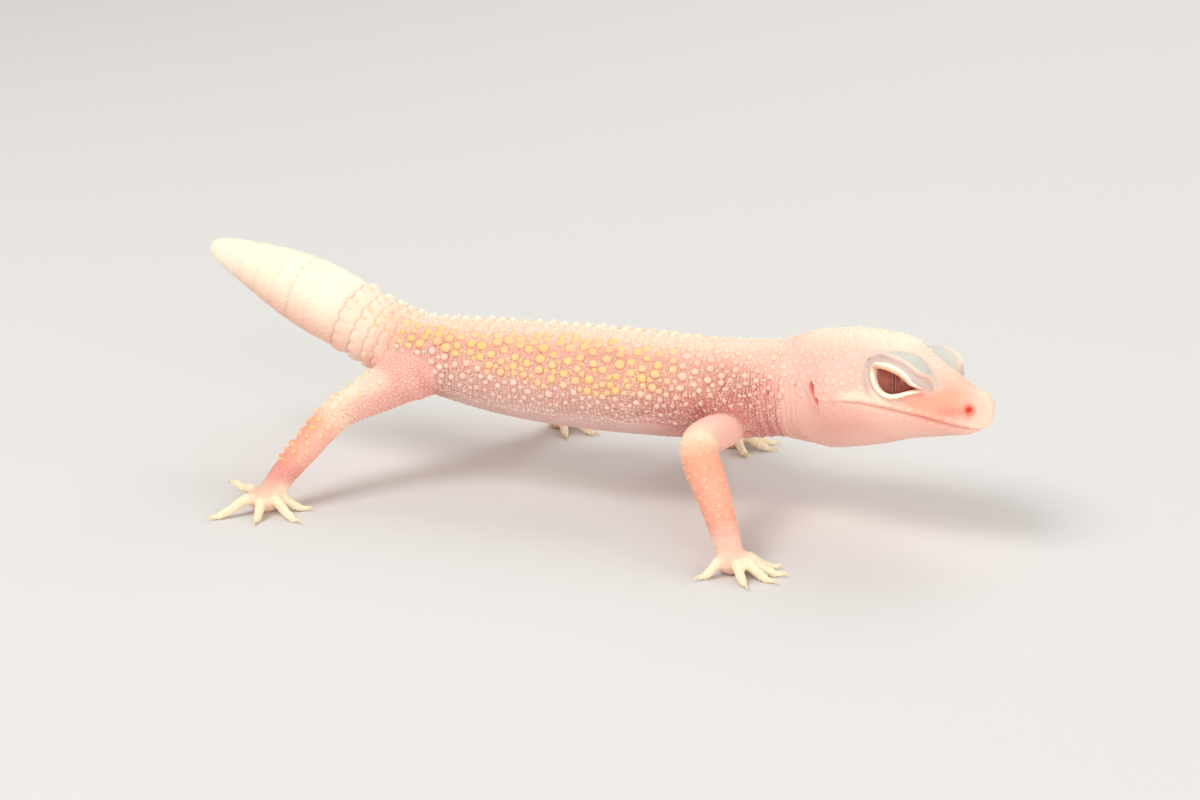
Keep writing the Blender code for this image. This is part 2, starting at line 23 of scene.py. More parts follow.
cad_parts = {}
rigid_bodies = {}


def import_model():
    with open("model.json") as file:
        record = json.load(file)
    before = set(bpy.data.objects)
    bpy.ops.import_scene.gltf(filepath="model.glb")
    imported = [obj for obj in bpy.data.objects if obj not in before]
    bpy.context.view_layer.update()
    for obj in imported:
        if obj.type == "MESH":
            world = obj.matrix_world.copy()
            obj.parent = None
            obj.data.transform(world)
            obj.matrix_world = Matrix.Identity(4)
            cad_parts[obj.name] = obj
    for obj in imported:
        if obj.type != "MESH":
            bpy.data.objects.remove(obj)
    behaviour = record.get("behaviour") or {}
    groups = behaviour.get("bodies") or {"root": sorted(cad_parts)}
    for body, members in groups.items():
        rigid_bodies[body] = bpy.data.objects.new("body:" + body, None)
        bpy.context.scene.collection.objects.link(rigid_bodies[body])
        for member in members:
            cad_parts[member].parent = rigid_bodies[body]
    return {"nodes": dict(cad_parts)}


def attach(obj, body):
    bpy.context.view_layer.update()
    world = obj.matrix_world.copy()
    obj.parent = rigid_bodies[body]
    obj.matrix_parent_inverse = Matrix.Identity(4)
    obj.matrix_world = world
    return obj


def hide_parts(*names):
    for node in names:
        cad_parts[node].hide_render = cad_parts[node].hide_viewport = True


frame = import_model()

Floats = NDArray[np.float64]
Ints = NDArray[np.int64]
Fields = dict[str, Floats]
Triple = tuple[float, float, float]
Colour = tuple[float, float, float, float]

MM = 0.001
TAU = 2.0 * math.pi
LOG = logging.getLogger("gecko")


# --- Arithmetic on rows of places


def unit(rows: Floats) -> Floats:
    """Rows scaled to length 1."""
    return rows / np.maximum(np.linalg.norm(rows, axis=-1, keepdims=True), 1e-12)


def table(rows: list[tuple[float, ...]]) -> Floats:
    """A dataclass field whose default is an array of these rows."""
    return field(default_factory=lambda: np.array(rows))


def lengths(rows: Floats) -> Floats:
    """How long each row is."""
    return np.linalg.norm(rows, axis=1)


def ramp(values: Floats | float, low: float, high: float) -> Floats:
    """A smooth rise from 0 at low to 1 at high."""
    share = np.clip((np.asarray(values, float) - low) / (high - low), 0.0, 1.0)
    return share * share * (3.0 - 2.0 * share)


def between(values: Floats, low: float, high: float, soft: float) -> Floats:
    """1 between low and high, falling to 0 over soft on both sides."""
    return ramp(values, low - soft, low) * (1.0 - ramp(values, high, high + soft))


def bell(values: Floats | float, width: float) -> Floats:
    """A bell that is 1 at 0 and about a third at width."""
    return np.exp(-((np.asarray(values, float) / width) ** 2))


def ripple(places: Floats, wavelength: float, seed: int) -> Floats:
    """A smooth field of random waves.

    Args:
        places: rows of places.
        wavelength: the waves' middle length.
        seed: which field.

    Returns:
        One value per row, mostly between -1 and 1.
    """
    chance = np.random.default_rng(seed)
    total = np.zeros(len(places))
    for _ in range(7):
        run = unit(chance.normal(size=places.shape[1])) * TAU / (wavelength * chance.uniform(0.7, 1.5))
        total += np.sin(places @ run + chance.uniform(0.0, TAU))
    return total / 2.6


def furrow(phase: Floats, sharpness: float = 2.0) -> Floats:
    """1 in the narrow valleys at whole numbers of phase, 0 on the broad ridges between them."""
    return (1.0 - np.abs(np.sin(math.pi * phase))) ** sharpness


def even_spline(rows: Floats, per_span: int) -> Floats:
    """Rows evened out along a uniform cubic B-spline.

    Args:
        rows: the control rows.
        per_span: how many rows each span becomes.

    Returns:
        The finer rows, from the first control row to the last.
    """
    padded = np.vstack([2 * rows[0] - rows[1], rows, 2 * rows[-1] - rows[-2]])
    t = np.arange(per_span)[:, None] / per_span
    spans = [((1 - t) ** 3 * a + (3 * t ** 3 - 6 * t ** 2 + 4) * b
              + (-3 * t ** 3 + 3 * t ** 2 + 3 * t + 1) * c + t ** 3 * d) / 6
             for a, b, c, d in zip(padded, padded[1:], padded[2:], padded[3:])]
    return np.vstack([*spans, rows[-1:]])


def smooth_line(rows: Floats, per_span: int, closed: bool = False) -> Floats:
    """Rows on a Catmull-Rom curve through the given ones.

    Args:
        rows: the rows to pass through.
        per_span: how many rows each span becomes.
        closed: whether the last row runs on into the first.

    Returns:
        The finer rows.
    """
    if closed:
        padded = np.vstack([rows[-1:], rows, rows[:2]])
    else:
        padded = np.vstack([2 * rows[0] - rows[1], rows, 2 * rows[-1] - rows[-2]])
    t = np.arange(per_span)[:, None] / per_span
    spans = [0.5 * (2 * b + (c - a) * t + (2 * a - 5 * b + 4 * c - d) * t ** 2
                    + (3 * b - a - 3 * c + d) * t ** 3)
             for a, b, c, d in zip(padded, padded[1:], padded[2:], padded[3:])]
    return np.vstack(spans if closed else [*spans, rows[-1:]])


def nearest_on_line(places: Floats, line: Floats) -> tuple[Floats, Floats]:
    """How far each place is from a line, and where along it.

    Args:
        places: rows of places.
        line: rows of the line's corners.

    Returns:
        Distances, and places along the line in corners.
    """
    gap = np.full(len(places), np.inf)
    along = np.zeros(len(places))
    for i, (start, end) in enumerate(zip(line, line[1:])):
        run = end - start
        share = np.clip(((places - start) @ run) / (run @ run), 0.0, 1.0)
        far = lengths(places - start - share[:, None] * run)
        closer = far < gap
        gap[closer] = far[closer]
        along[closer] = i + share[closer]
    return gap, along


def rows_at(rows: Floats, along: Floats) -> Floats:
    """Rows read between their indices.

    Args:
        rows: the rows.
        along: where to read, in rows.

    Returns:
        A row for each.
    """
    low = np.clip(along.astype(int), 0, len(rows) - 2)
    share = (along - low)[:, None]
    return rows[low] * (1.0 - share) + rows[low + 1] * share


# --- Meshes as arrays


def ball_spots(corners: int, rings: int) -> tuple[Floats, Floats]:
    """The points of a ball of radius 1, without its poles.

    Args:
        corners: points round it.
        rings: rings from pole to pole.

    Returns:
        Ring by corner by coordinate, and each ring's angle from the upper pole.
    """
    down = math.pi * (np.arange(rings) + 1) / (rings + 1)
    turned = TAU * np.arange(corners) / corners
    return np.stack([np.sin(down)[:, None] * np.cos(turned), np.sin(down)[:, None] * np.sin(turned),
                     np.repeat(np.cos(down)[:, None], corners, 1)], 2), down


@dataclass
class Shell:
    """A closed mesh of triangles, in millimetres."""

    places: Floats
    faces: Ints

    @classmethod
    def from_rings(cls, rings: Floats, front: Floats, back: Floats) -> "Shell":
        """A closed tube through rings of points.

        Args:
            rings: ring by corner by coordinate.
            front: the tip ahead of the first ring.
            back: the tip behind the last one.

        Returns:
            The tube.
        """
        count, corners = rings.shape[:2]
        index = np.arange(count * corners).reshape(count, corners)
        turned = np.roll(index, -1, axis=1)
        a, b, c, d = index[:-1].ravel(), turned[:-1].ravel(), turned[1:].ravel(), index[1:].ravel()
        tip = count * corners
        fans = [np.stack([turned[0], index[0], np.full(corners, tip)], 1),
                np.stack([index[-1], turned[-1], np.full(corners, tip + 1)], 1)]
        faces = np.vstack([np.stack([a, b, c], 1), np.stack([a, c, d], 1), *fans])
        return cls(np.vstack([rings.reshape(-1, 3), front[None], back[None]]), faces)

    @classmethod
    def ball(cls, centre: Floats, size: Floats, turn: Floats, corners: int = 28, rings: int = 16) -> "Shell":
        """A ball or egg.

        Args:
            centre: its middle.
            size: its three half sizes.
            turn: its three axes as columns.
            corners: points round it.
            rings: rings from pole to pole.

        Returns:
            The ball.
        """
        spots, _ = ball_spots(corners, rings)
        poles = np.array([[0.0, 0.0, 1.0], [0.0, 0.0, -1.0]])
        place = (spots.reshape(-1, 3) * size) @ turn.T + centre
        tips = (poles * size) @ turn.T + centre
        return cls.from_rings(place.reshape(rings, corners, 3), tips[0], tips[1])

    @classmethod
    def bar(cls, path: Floats, radii: Floats, corners: int = 18) -> "Shell":
        """A round bar along a path with one radius per corner of the path.

        Args:
            path: rows of places.
            radii: a radius for each.
            corners: points round it.

        Returns:
            The bar.
        """
        reference = np.eye(3)[np.argmin(np.abs(path[-1] - path[0]))]
        ahead = unit(np.gradient(path, axis=0))
        side = unit(np.cross(reference, ahead))
        up = np.cross(ahead, side)
        turned = TAU * np.arange(corners) / corners
        ring = side[:, None] * np.cos(turned)[None, :, None] + up[:, None] * np.sin(turned)[None, :, None]
        rings = path[:, None] + ring * radii[:, None, None]
        return cls.from_rings(rings, path[0], path[-1])

    @classmethod
    def joined(cls, shells: list["Shell"]) -> "Shell":
        """All of these as one mesh, overlapping as they are.

        Args:
            shells: the meshes.

        Returns:
            The one mesh.
        """
        starts = np.cumsum([0, *[len(shell.places) for shell in shells]])
        return cls(np.vstack([shell.places for shell in shells]),
                   np.vstack([shell.faces + start for shell, start in zip(shells, starts)]))

    def normals(self) -> Floats:
        """The outward direction at each point.

        Returns:
            A row of length 1 for each point.
        """
        a, b, c = (self.places[self.faces[:, k]] for k in range(3))
        face = np.cross(b - a, c - a)
        total = np.zeros_like(self.places)
        for corner in self.faces.T:
            for axis in range(3):
                total[:, axis] += np.bincount(corner, face[:, axis], len(total))
        return unit(total)

    def edges(self) -> tuple[Ints, Ints]:
        """The mesh's edges, and each face's three edges by number.

        Returns:
            The edges' two ends, and three edge numbers for each face.
        """
        faces = self.faces
        ends = np.sort(np.concatenate([faces[:, [0, 1]], faces[:, [1, 2]], faces[:, [2, 0]]]), axis=1)
        key = ends[:, 0] * len(self.places) + ends[:, 1]
        _, first, back = np.unique(key, return_index=True, return_inverse=True)
        return ends[first], back.reshape(3, -1).T

    def relaxed(self, rounds: int, factor: float) -> "Shell":
        """The mesh with its points drawn towards their neighbours.

        Args:
            rounds: how many times.
            factor: how far each time.

        Returns:
            The smoother mesh.
        """
        edges, _ = self.edges()
        ends = np.concatenate([edges, edges[:, ::-1]])
        count = np.bincount(ends[:, 0], minlength=len(self.places))[:, None]
        places = self.places
        for _ in range(rounds):
            total = np.stack([np.bincount(ends[:, 0], places[ends[:, 1], axis], len(places))
                              for axis in range(3)], 1)
            places = places + factor * (total / count - places)
        return Shell(places, self.faces)

    def refined(self, longest: Callable[[Floats], Floats], rounds: int) -> "Shell":
        """The mesh with its long edges split, and the new points set out on the curve of the surface.

        Args:
            longest: gives the longest edge wanted at each place.
            rounds: how many times edges may be split.

        Returns:
            The finer mesh.
        """
        shell = self
        for _ in range(rounds):
            edges, sides = shell.edges()
            a, b = shell.places[edges[:, 0]], shell.places[edges[:, 1]]
            run = b - a
            split = lengths(run) > longest((a + b) / 2)
            if not split.any():
                break
            normals = shell.normals()
            out_a, out_b = normals[edges[:, 0]], normals[edges[:, 1]]
            bow = ((run * out_a).sum(1)[:, None] * out_a - (run * out_b).sum(1)[:, None] * out_b) / 8
            middle = np.where(split, len(shell.places) + np.cumsum(split) - 1, -1)
            shell = Shell(np.vstack([shell.places, ((a + b) / 2 - bow)[split]]),
                          self._split_faces(shell.faces, middle[sides]))
        return shell

    @staticmethod
    def _split_faces(faces: Ints, middles: Ints) -> Ints:
        """Faces with the given new points in the middles of their sides, where -1 means none.

        Args:
            faces: the faces.
            middles: the numbers of the new points on each face's sides.

        Returns:
            The new faces.
        """
        marked = middles >= 0
        count = marked.sum(1)
        made = [faces[count == 0]]
        whole = count == 3
        v, m = faces[whole], middles[whole]
        made += [np.stack([v[:, 0], m[:, 0], m[:, 2]], 1), np.stack([m[:, 0], v[:, 1], m[:, 1]], 1),
                 np.stack([m[:, 2], m[:, 1], v[:, 2]], 1), m]
        for k in range(3):
            turned = [k, (k + 1) % 3, (k + 2) % 3]
            one = (count == 1) & marked[:, k]
            v, m = faces[one][:, turned], middles[one][:, k]
            made += [np.stack([v[:, 0], m, v[:, 2]], 1), np.stack([m, v[:, 1], v[:, 2]], 1)]
            two = (count == 2) & ~marked[:, k]
            v = faces[two][:, [turned[1], turned[2], turned[0]]]
            m, n = middles[two][:, turned[1]], middles[two][:, turned[2]]
            made += [np.stack([m, v[:, 1], n], 1), np.stack([v[:, 0], m, n], 1),
                     np.stack([v[:, 0], n, v[:, 2]], 1)]
        return np.vstack(made)

    def remeshed(self, voxel: float, rounds: int) -> "Shell":
        """The outer skin of overlapping solids.

        Args:
            voxel: the skin's grain.
            rounds: how many times it is evened out.

        Returns:
            One closed skin.
        """
        obj = stand("flesh", mesh_of("flesh", self))
        skin = obj.modifiers.new("Skin", "REMESH")
        skin.mode = "VOXEL"
        skin.voxel_size = voxel * MM
        skin.use_smooth_shade = True
        relax = obj.modifiers.new("Relax", "SMOOTH")
        relax.factor = 0.5
        relax.iterations = rounds
        split = obj.modifiers.new("Triangles", "TRIANGULATE")
        split.quad_method = "BEAUTY"
        bpy.context.view_layer.update()
        mesh = bpy.data.meshes.new_from_object(obj.evaluated_get(bpy.context.evaluated_depsgraph_get()))
        places = np.empty(len(mesh.vertices) * 3, np.float32)
        mesh.vertices.foreach_get("co", places)
        faces = np.empty(len(mesh.loops), np.int32)
        mesh.loops.foreach_get("vertex_index", faces)
        for block in (obj, mesh):
            (bpy.data.objects if block is obj else bpy.data.meshes).remove(block)
        return Shell(places.reshape(-1, 3).astype(float) / MM, faces.reshape(-1, 3).astype(np.int64))

    def largest(self) -> "Shell":
        """The biggest of the mesh's separate bodies.

        Returns:
            That body alone.
        """
        edges, _ = self.edges()
        label = np.arange(len(self.places))
        while True:
            low = np.minimum(label[edges[:, 0]], label[edges[:, 1]])
            fresh = label.copy()
            np.minimum.at(fresh, edges[:, 0], low)
            np.minimum.at(fresh, edges[:, 1], low)
            fresh = fresh[fresh]
            if (fresh == label).all():
                break
            label = fresh
        keep = label == np.bincount(label).argmax()
        index = np.cumsum(keep) - 1
        return Shell(self.places[keep], index[self.faces[keep[self.faces[:, 0]]]])


def mesh_of(name: str, shell: Shell, fields: Fields | None = None,
            uv: Floats | None = None) -> bpy.types.Mesh:
    """A Blender mesh of a shell.

    Args:
        name: the mesh's name.
        shell: its points and triangles.
        fields: values to keep at each point, by name.
        uv: a place on the bake's map for each point.

    Returns:
        The mesh, shaded smooth.
    """
    mesh = bpy.data.meshes.new(name)
    corners = shell.faces.astype(np.int32).ravel()
    mesh.vertices.add(len(shell.places))
    mesh.vertices.foreach_set("co", (shell.places * MM).astype(np.float32).ravel())
    mesh.loops.add(len(corners))
    mesh.loops.foreach_set("vertex_index", corners)
    mesh.polygons.add(len(shell.faces))
    mesh.polygons.foreach_set("loop_start", np.arange(0, len(corners), 3, dtype=np.int32))
    mesh.update(calc_edges=True)
    mesh.shade_smooth()
    for word, values in (fields or {}).items():
        kept = mesh.attributes.new(word, "FLOAT", "POINT")
        kept.data.foreach_set("value", np.clip(values, -4.0, 4.0).astype(np.float32))
    if uv is not None:
        layer = mesh.uv_layers.new(name="OFBake")
        layer.data.foreach_set("uv", uv[corners].astype(np.float32).ravel())
    return mesh


def stand(name: str, data: bpy.types.ID) -> bpy.types.Object:
    """A new object of the scene.

    Args:
        name: its name.
        data: its mesh, lamp or lens.

    Returns:
        The object.
    """
    made = bpy.data.objects.new(name, data)
    bpy.context.scene.collection.objects.link(made)
    return made


def show(name: str, mesh: bpy.types.Mesh, finish: bpy.types.Material) -> bpy.types.Object:
    """A piece of the model that rides on its body.

    Args:
        name: the piece's name.
        mesh: its mesh.
        finish: its material.

    Returns:
        The piece.
    """
    piece = stand(name, mesh)
    mesh.materials.append(finish)
    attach(piece, "root")
    LOG.info("%s: %d faces", name, len(mesh.polygons))
    return piece


# --- The animal's build


@dataclass
class Loft:
    """A body of oval rings along a line. sizes holds each ring's half width, height above and depth below."""

    centres: Floats
    sides: Floats
    ups: Floats
    sizes: Floats
    fullness: float

    def shell(self, front: Floats, back: Floats, corners: int = 40) -> Shell:
        """The closed body, with its two tips.

        Args:
            front: the tip ahead of the first ring.
            back: the tip behind the last one.
            corners: points round it.

        Returns:
            The body.
        """
        turned = TAU * (np.arange(corners) + 0.5) / corners
        c, s = np.cos(turned), np.sin(turned)
        power = 2.0 / self.fullness
        across = np.sign(c) * np.abs(c) ** power * self.sizes[:, :1]
        height = np.sign(s) * np.abs(s) ** power * np.where(s > 0, self.sizes[:, 1:2], self.sizes[:, 2:3])
        rings = (self.centres[:, None] + self.sides[:, None] * across[..., None]
                 + self.ups[:, None] * height[..., None])
        return Shell.from_rings(rings, front, back)

    def where(self, places: Floats) -> tuple[Floats, Floats, Floats]:
        """Where places are on the loft.

        Args:
            places: rows of places.

        Returns:
            Place along it in rings, turn round it (0 on top, rising to its left), and distance out as a
            share of the ring's own.
        """
        _, along = nearest_on_line(places, self.centres)
        offset = places - rows_at(self.centres, along)
        across = (offset * rows_at(self.sides, along)).sum(1)
        height = (offset * rows_at(self.ups, along)).sum(1)
        size = rows_at(self.sizes, along)
        turn = np.arctan2(across, height)
        tall = np.where(height > 0, size[:, 1], size[:, 2])
        ring = ((np.abs(np.sin(turn)) / size[:, 0]) ** self.fullness
                + (np.abs(np.cos(turn)) / tall) ** self.fullness) ** (-1.0 / self.fullness)
        return along, turn, np.hypot(across, height) / ring


@dataclass
class Spine:
    """Neck, trunk and tail: x, y, z, half width, height above and depth below at each station."""

    stations: Floats = table([
        (46.7, -0.9, 22.6, 8.8, 9.4, 7.8), (39.7, 0.9, 22.4, 8.8, 9.5, 8.7),
        (32.9, 1.7, 22.0, 9.6, 8.9, 9.5), (25.9, 1.7, 21.5, 10.7, 8.7, 9.7),
        (15.9, 1.7, 21.2, 11.8, 9.0, 9.6), (4.9, 1.7, 21.2, 12.4, 9.2, 9.6),
        (-6.1, 1.7, 21.3, 12.3, 9.1, 9.3), (-16.1, 1.7, 21.5, 11.2, 8.8, 8.5),
        (-24.1, 1.7, 22.0, 9.8, 8.1, 7.4), (-31.1, 1.9, 22.7, 8.6, 7.2, 6.8),
        (-37.1, 2.6, 24.0, 7.5, 6.8, 6.6), (-42.6, 3.6, 26.2, 6.8, 6.8, 6.8),
        (-47.6, 4.3, 28.4, 7.0, 7.0, 6.9), (-52.1, 4.9, 30.2, 7.4, 7.5, 7.3),
        (-59.1, 5.8, 32.9, 7.0, 7.1, 6.8), (-67.1, 6.8, 35.7, 5.2, 5.2, 5.0),
        (-74.6, 7.7, 38.0, 3.3, 3.3, 3.2), (-77.7, 8.1, 38.8, 2.0, 2.0, 2.0)])
    fullness: float = 2.15
    per_span: int = 5
    neck_pole: float = 4.0
    tail_pole: float = 0.9

    def __post_init__(self) -> None:
        """Works out the loft from the stations."""
        line = even_spline(self.stations, self.per_span)
        ahead = unit(-np.gradient(line[:, :3], axis=0))
        side = unit(np.cross(np.array([0.0, 0.0, 1.0]), ahead))
        self.ahead = ahead
        self.loft = Loft(line[:, :3], side, unit(np.cross(ahead, side)), line[:, 3:], self.fullness)
        steps = lengths(np.diff(line[:, :3], axis=0))
        self.arc = np.concatenate([[0.0], np.cumsum(steps)])

    def shell(self) -> Shell:
        """The closed body from inside the head to the tail's tip.

        Returns:
            The body.
        """
        c = self.loft.centres
        front = c[0] + self.ahead[0] * self.neck_pole
        return self.loft.shell(front, c[-1] - self.ahead[-1] * self.tail_pole)

    def index_at_x(self, x: Floats | float) -> Floats:
        """The place along the loft, in rings, whose centre is at this x."""
        rings = np.arange(len(self.loft.centres))
        return np.interp(-np.asarray(x, float), -self.loft.centres[:, 0], rings)

    def index_at_arc(self, arc: Floats) -> Floats:
        """The place along the loft, in rings, at this length along its middle line."""
        return np.interp(arc, self.arc, np.arange(len(self.arc)))

    def rays(self, index: Floats, turns: Floats) -> tuple[Floats, Floats]:
        """Rays from the middle line out through the skin.

        Args:
            index: where along the loft they start, in rings.
            turns: which way round it they run.

        Returns:
            Their starts and their directions.
        """
        loft = self.loft
        runs = (rows_at(loft.sides, index) * np.sin(turns)[:, None]
                + rows_at(loft.ups, index) * np.cos(turns)[:, None])
        return rows_at(loft.centres, index), runs


@dataclass
class HeadForm:
    """The head, in a frame of its own: distance behind the snout, out to the left, and height."""

    snout: Triple = (77.8, -10.1, 25.3)
    yaw: float = -18.7
    pitch: float = 5.7
    roll: float = -10.0
    sections: Floats = table([
        (0.3, 2.3, 1.9, 2.2), (1.5, 3.9, 3.2, 3.7), (4.5, 5.4, 4.7, 4.6), (9.0, 7.0, 6.9, 5.0),
        (14.0, 8.7, 10.5, 5.7), (19.0, 10.7, 12.5, 7.1), (25.0, 12.0, 13.1, 8.5), (31.0, 11.2, 12.8, 9.1),
        (36.5, 9.6, 12.0, 8.6), (40.5, 8.6, 10.6, 8.0)])
    fullness: float = 2.2
    front_pole: Triple = (-0.5, 0.0, -0.2)
    back_pole: Triple = (43.0, 0.0, 0.5)
    orbit_stretch: float = 1.12
    cheek: Triple = (25.5, 7.6, 1.2)
    cheek_size: Triple = (6.6, 5.0, 6.4)
    snout_end: Triple = (3.4, 0.0, 0.1)
    snout_end_size: Triple = (3.6, 4.7, 4.1)
    mouth: Floats = table([
        (-3.0, -4.0), (0.0, -3.5), (4.0, -2.7), (9.0, -1.4), (15.0, -0.1), (20.0, 0.7), (24.4, 0.8)])

    def __post_init__(self) -> None:
        """Works out the frame and the loft."""
        turn = Matrix.Rotation(math.radians(self.yaw), 3, "Z")
        turn = turn @ Matrix.Rotation(math.radians(-self.pitch), 3, "Y")
        turn = turn @ Matrix.Rotation(math.radians(self.roll), 3, "X")
        self.axes = np.array(turn) * np.array([-1.0, 1.0, 1.0])
        line = even_spline(self.sections, 4)
        count = len(line)
        centres = self.out(np.stack([line[:, 0], np.zeros(count), np.zeros(count)], 1))
        self.loft = Loft(centres, np.tile(self.axes[:, 1], (count, 1)), np.tile(self.axes[:, 2], (count, 1)),
                         line[:, 1:], self.fullness)

    def out(self, places: Floats) -> Floats:
        """Head places as model places."""
        return np.asarray(places, float) @ self.axes.T + np.array(self.snout)

    def into(self, places: Floats) -> Floats:
        """Model places as head places."""
        return (places - np.array(self.snout)) @ self.axes

    def shells(self, orbit: float, eye_place: Floats) -> list[Shell]:
        """The head's loft with its orbits, cheeks and snout end.

        Args:
            orbit: the radius of the lids' ball.
            eye_place: the left eye's head place.

        Returns:
            The overlapping bodies.
        """
        turn = self.axes * np.array([-1.0, 1.0, 1.0])
        made = [self.loft.shell(self.out(np.array(self.front_pole)), self.out(np.array(self.back_pole)))]
        for side in (-1.0, 1.0):
            mirror = np.array([1.0, side, 1.0])
            size = np.array([orbit * self.orbit_stretch, orbit, orbit])
            made.append(Shell.ball(self.out(eye_place * mirror), size, turn, 48, 30))
            made.append(Shell.ball(self.out(np.array(self.cheek) * mirror), np.array(self.cheek_size), turn))
        made.append(Shell.ball(self.out(np.array(self.snout_end)), np.array(self.snout_end_size), turn))
        return made


class LimbKind(Enum):
    """Arms and legs: radii from root to wrist, the palm's half sizes, and the red hollow beside the root.

    The hollow is told by its shift forwards and down, how much the limb hides it, its reach and its strength.
    """

    ARM = ((4.2, 3.8, 3.6, 3.8, 3.3, 2.8), (2.9, 2.7, 2.3), (1.0, 1.0, 0.92, 14.0, 0.60))
    LEG = ((5.6, 4.7, 3.5, 3.2, 2.9, 2.7), (3.2, 2.9, 2.3), (-1.5, 0.0, 0.7, 6.5, 0.70))

    def __init__(self, radii: tuple[float, ...], palm: tuple[float, ...], pit: tuple[float, ...]) -> None:
        """Gives the sizes their names.

        Args:
            radii: from the root to the wrist.
            palm: the palm's half sizes.
            pit: the hollow beside the root.
        """
        self.radii = radii
        self.palm = palm
        self.pit = pit


@dataclass
class Limb:
    """A limb from its root in the trunk to its digits' tips. Digits are bearing in degrees and reach."""

    name: str
    kind: LimbKind
    joints: tuple[Triple, ...]
    digits: tuple[tuple[float, float], ...]
    lifted: int = 0
    lift: float = 2.6
    wrist_radius: float = 2.2
    digit_start: float = 0.12
    digit_heights: tuple[float, ...] = (2.4, 2.8, 1.5, 0.6)
    digit_radii: tuple[float, ...] = (1.25, 1.05, 0.9, 0.8)
    buried: float = 0.45
    trunk_middle: float = 1.7

    def __post_init__(self) -> None:
        """Works out the limb's line, which runs from 0 at the root to 4 at the wrist and 5 in the palm."""
        root, bend, end, palm = (np.array(joint) for joint in self.joints)
        corners = np.array([root, (root + bend) / 2, bend, (bend + end) / 2, end])
        self.per_span = 4
        bar = smooth_line(corners, self.per_span)
        self.palm = palm
        self.line = np.vstack([bar, palm[None]])
        radii = np.interp(np.linspace(0, 5, len(bar)), np.arange(6), self.kind.radii)
        self.radii = np.concatenate([radii, [self.wrist_radius]])

    def where(self, places: Floats) -> tuple[Floats, Floats, Floats]:
        """Where places are on the limb.

        Args:
            places: rows of places.

        Returns:
            Place along it (0 root, 2 bend, 4 wrist, 5 palm), distance out as a share of its radius, and
            distance.
        """
        gap, along = nearest_on_line(places, self.line)
        share = gap / rows_at(self.radii[:, None], along)[:, 0]
        wrist = len(self.line) - 2
        return np.where(along > wrist, 4.0 + along - wrist, along / self.per_span), share, gap

    def exit(self) -> tuple[Floats, float]:
        """Where the limb comes out of the body, and on which side: -1 right or 1 left."""
        root, bend = np.array(self.joints[0]), np.array(self.joints[1])
        return root + (bend - root) * self.buried, math.copysign(1.0, root[1] - self.trunk_middle)

    def digit(self, number: int) -> Floats:
        """The centre line of a digit, from inside the palm to its tip.

        Args:
            number: which digit, from 1 to 5.

        Returns:
            Rows of places.
        """
        bearing, reach = self.digits[number - 1]
        out = np.array([math.cos(math.radians(bearing)), math.sin(math.radians(bearing)), 0.0])
        share = np.linspace(self.digit_start, 1.0, len(self.digit_heights))
        raised = self.lift * share ** 2 * (number == self.lifted)
        route = self.palm * np.array([1.0, 1.0, 0.0]) + out * (reach * share)[:, None]
        route[:, 2] = np.array(self.digit_heights) + raised
        return route

    def bars(self) -> list[Shell]:
        """The limb's segments as far as the wrist."""
        return [Shell.bar(self.line[:-1], self.radii[:-1]), Shell.bar(self.line[-2:], self.radii[-2:])]

    def hand(self) -> list[Shell]:
        """The palm and its five digits.

        Returns:
            The overlapping bodies.
        """
        made = [Shell.ball(self.palm, np.array(self.kind.palm), np.eye(3))]
        for number in range(1, 6):
            route = self.digit(number)
            path = smooth_line(route, 4)
            radii = np.interp(np.linspace(0, 3, len(path)), np.arange(4), self.digit_radii)
            made.append(Shell.bar(path, radii))
            made.append(Shell.ball(route[-1], np.full(3, self.digit_radii[-1]), np.eye(3)))
        return made


@dataclass
class EyeFrame:
    """One eye's middle and axes, and how much higher its lid's crest is drawn up than an open eye's.

    Places near it are told as backwards, up and outwards of the lids' slit.
    """

    centre: Floats
    axes: Floats
    upright: Floats
    brow: float

    def into(self, places: Floats) -> Floats:
        """Model places in the eye's frame."""
        return (places - self.centre) @ self.axes

    def out(self, places: Floats) -> Floats:
        """Places in the eye's frame as model places."""
        return places @ self.axes.T + self.centre


@dataclass
class Whereabouts:
    """Where each of many places is on the animal. All the markings, folds and scales are told from this."""

    places: Floats
    spine_x: Floats
    arc: Floats
    turn: Floats
    head: Floats
    head_share: Floats
    limb: Ints
    limb_along: Floats
    limb_gap: Floats
    limb_share: Floats
    hand_share: Floats
    lie: Floats
    side: Floats

    @property
    def down(self) -> Floats:
        """How far round the body from its top each place is, in degrees."""
        return np.degrees(np.abs(self.turn))


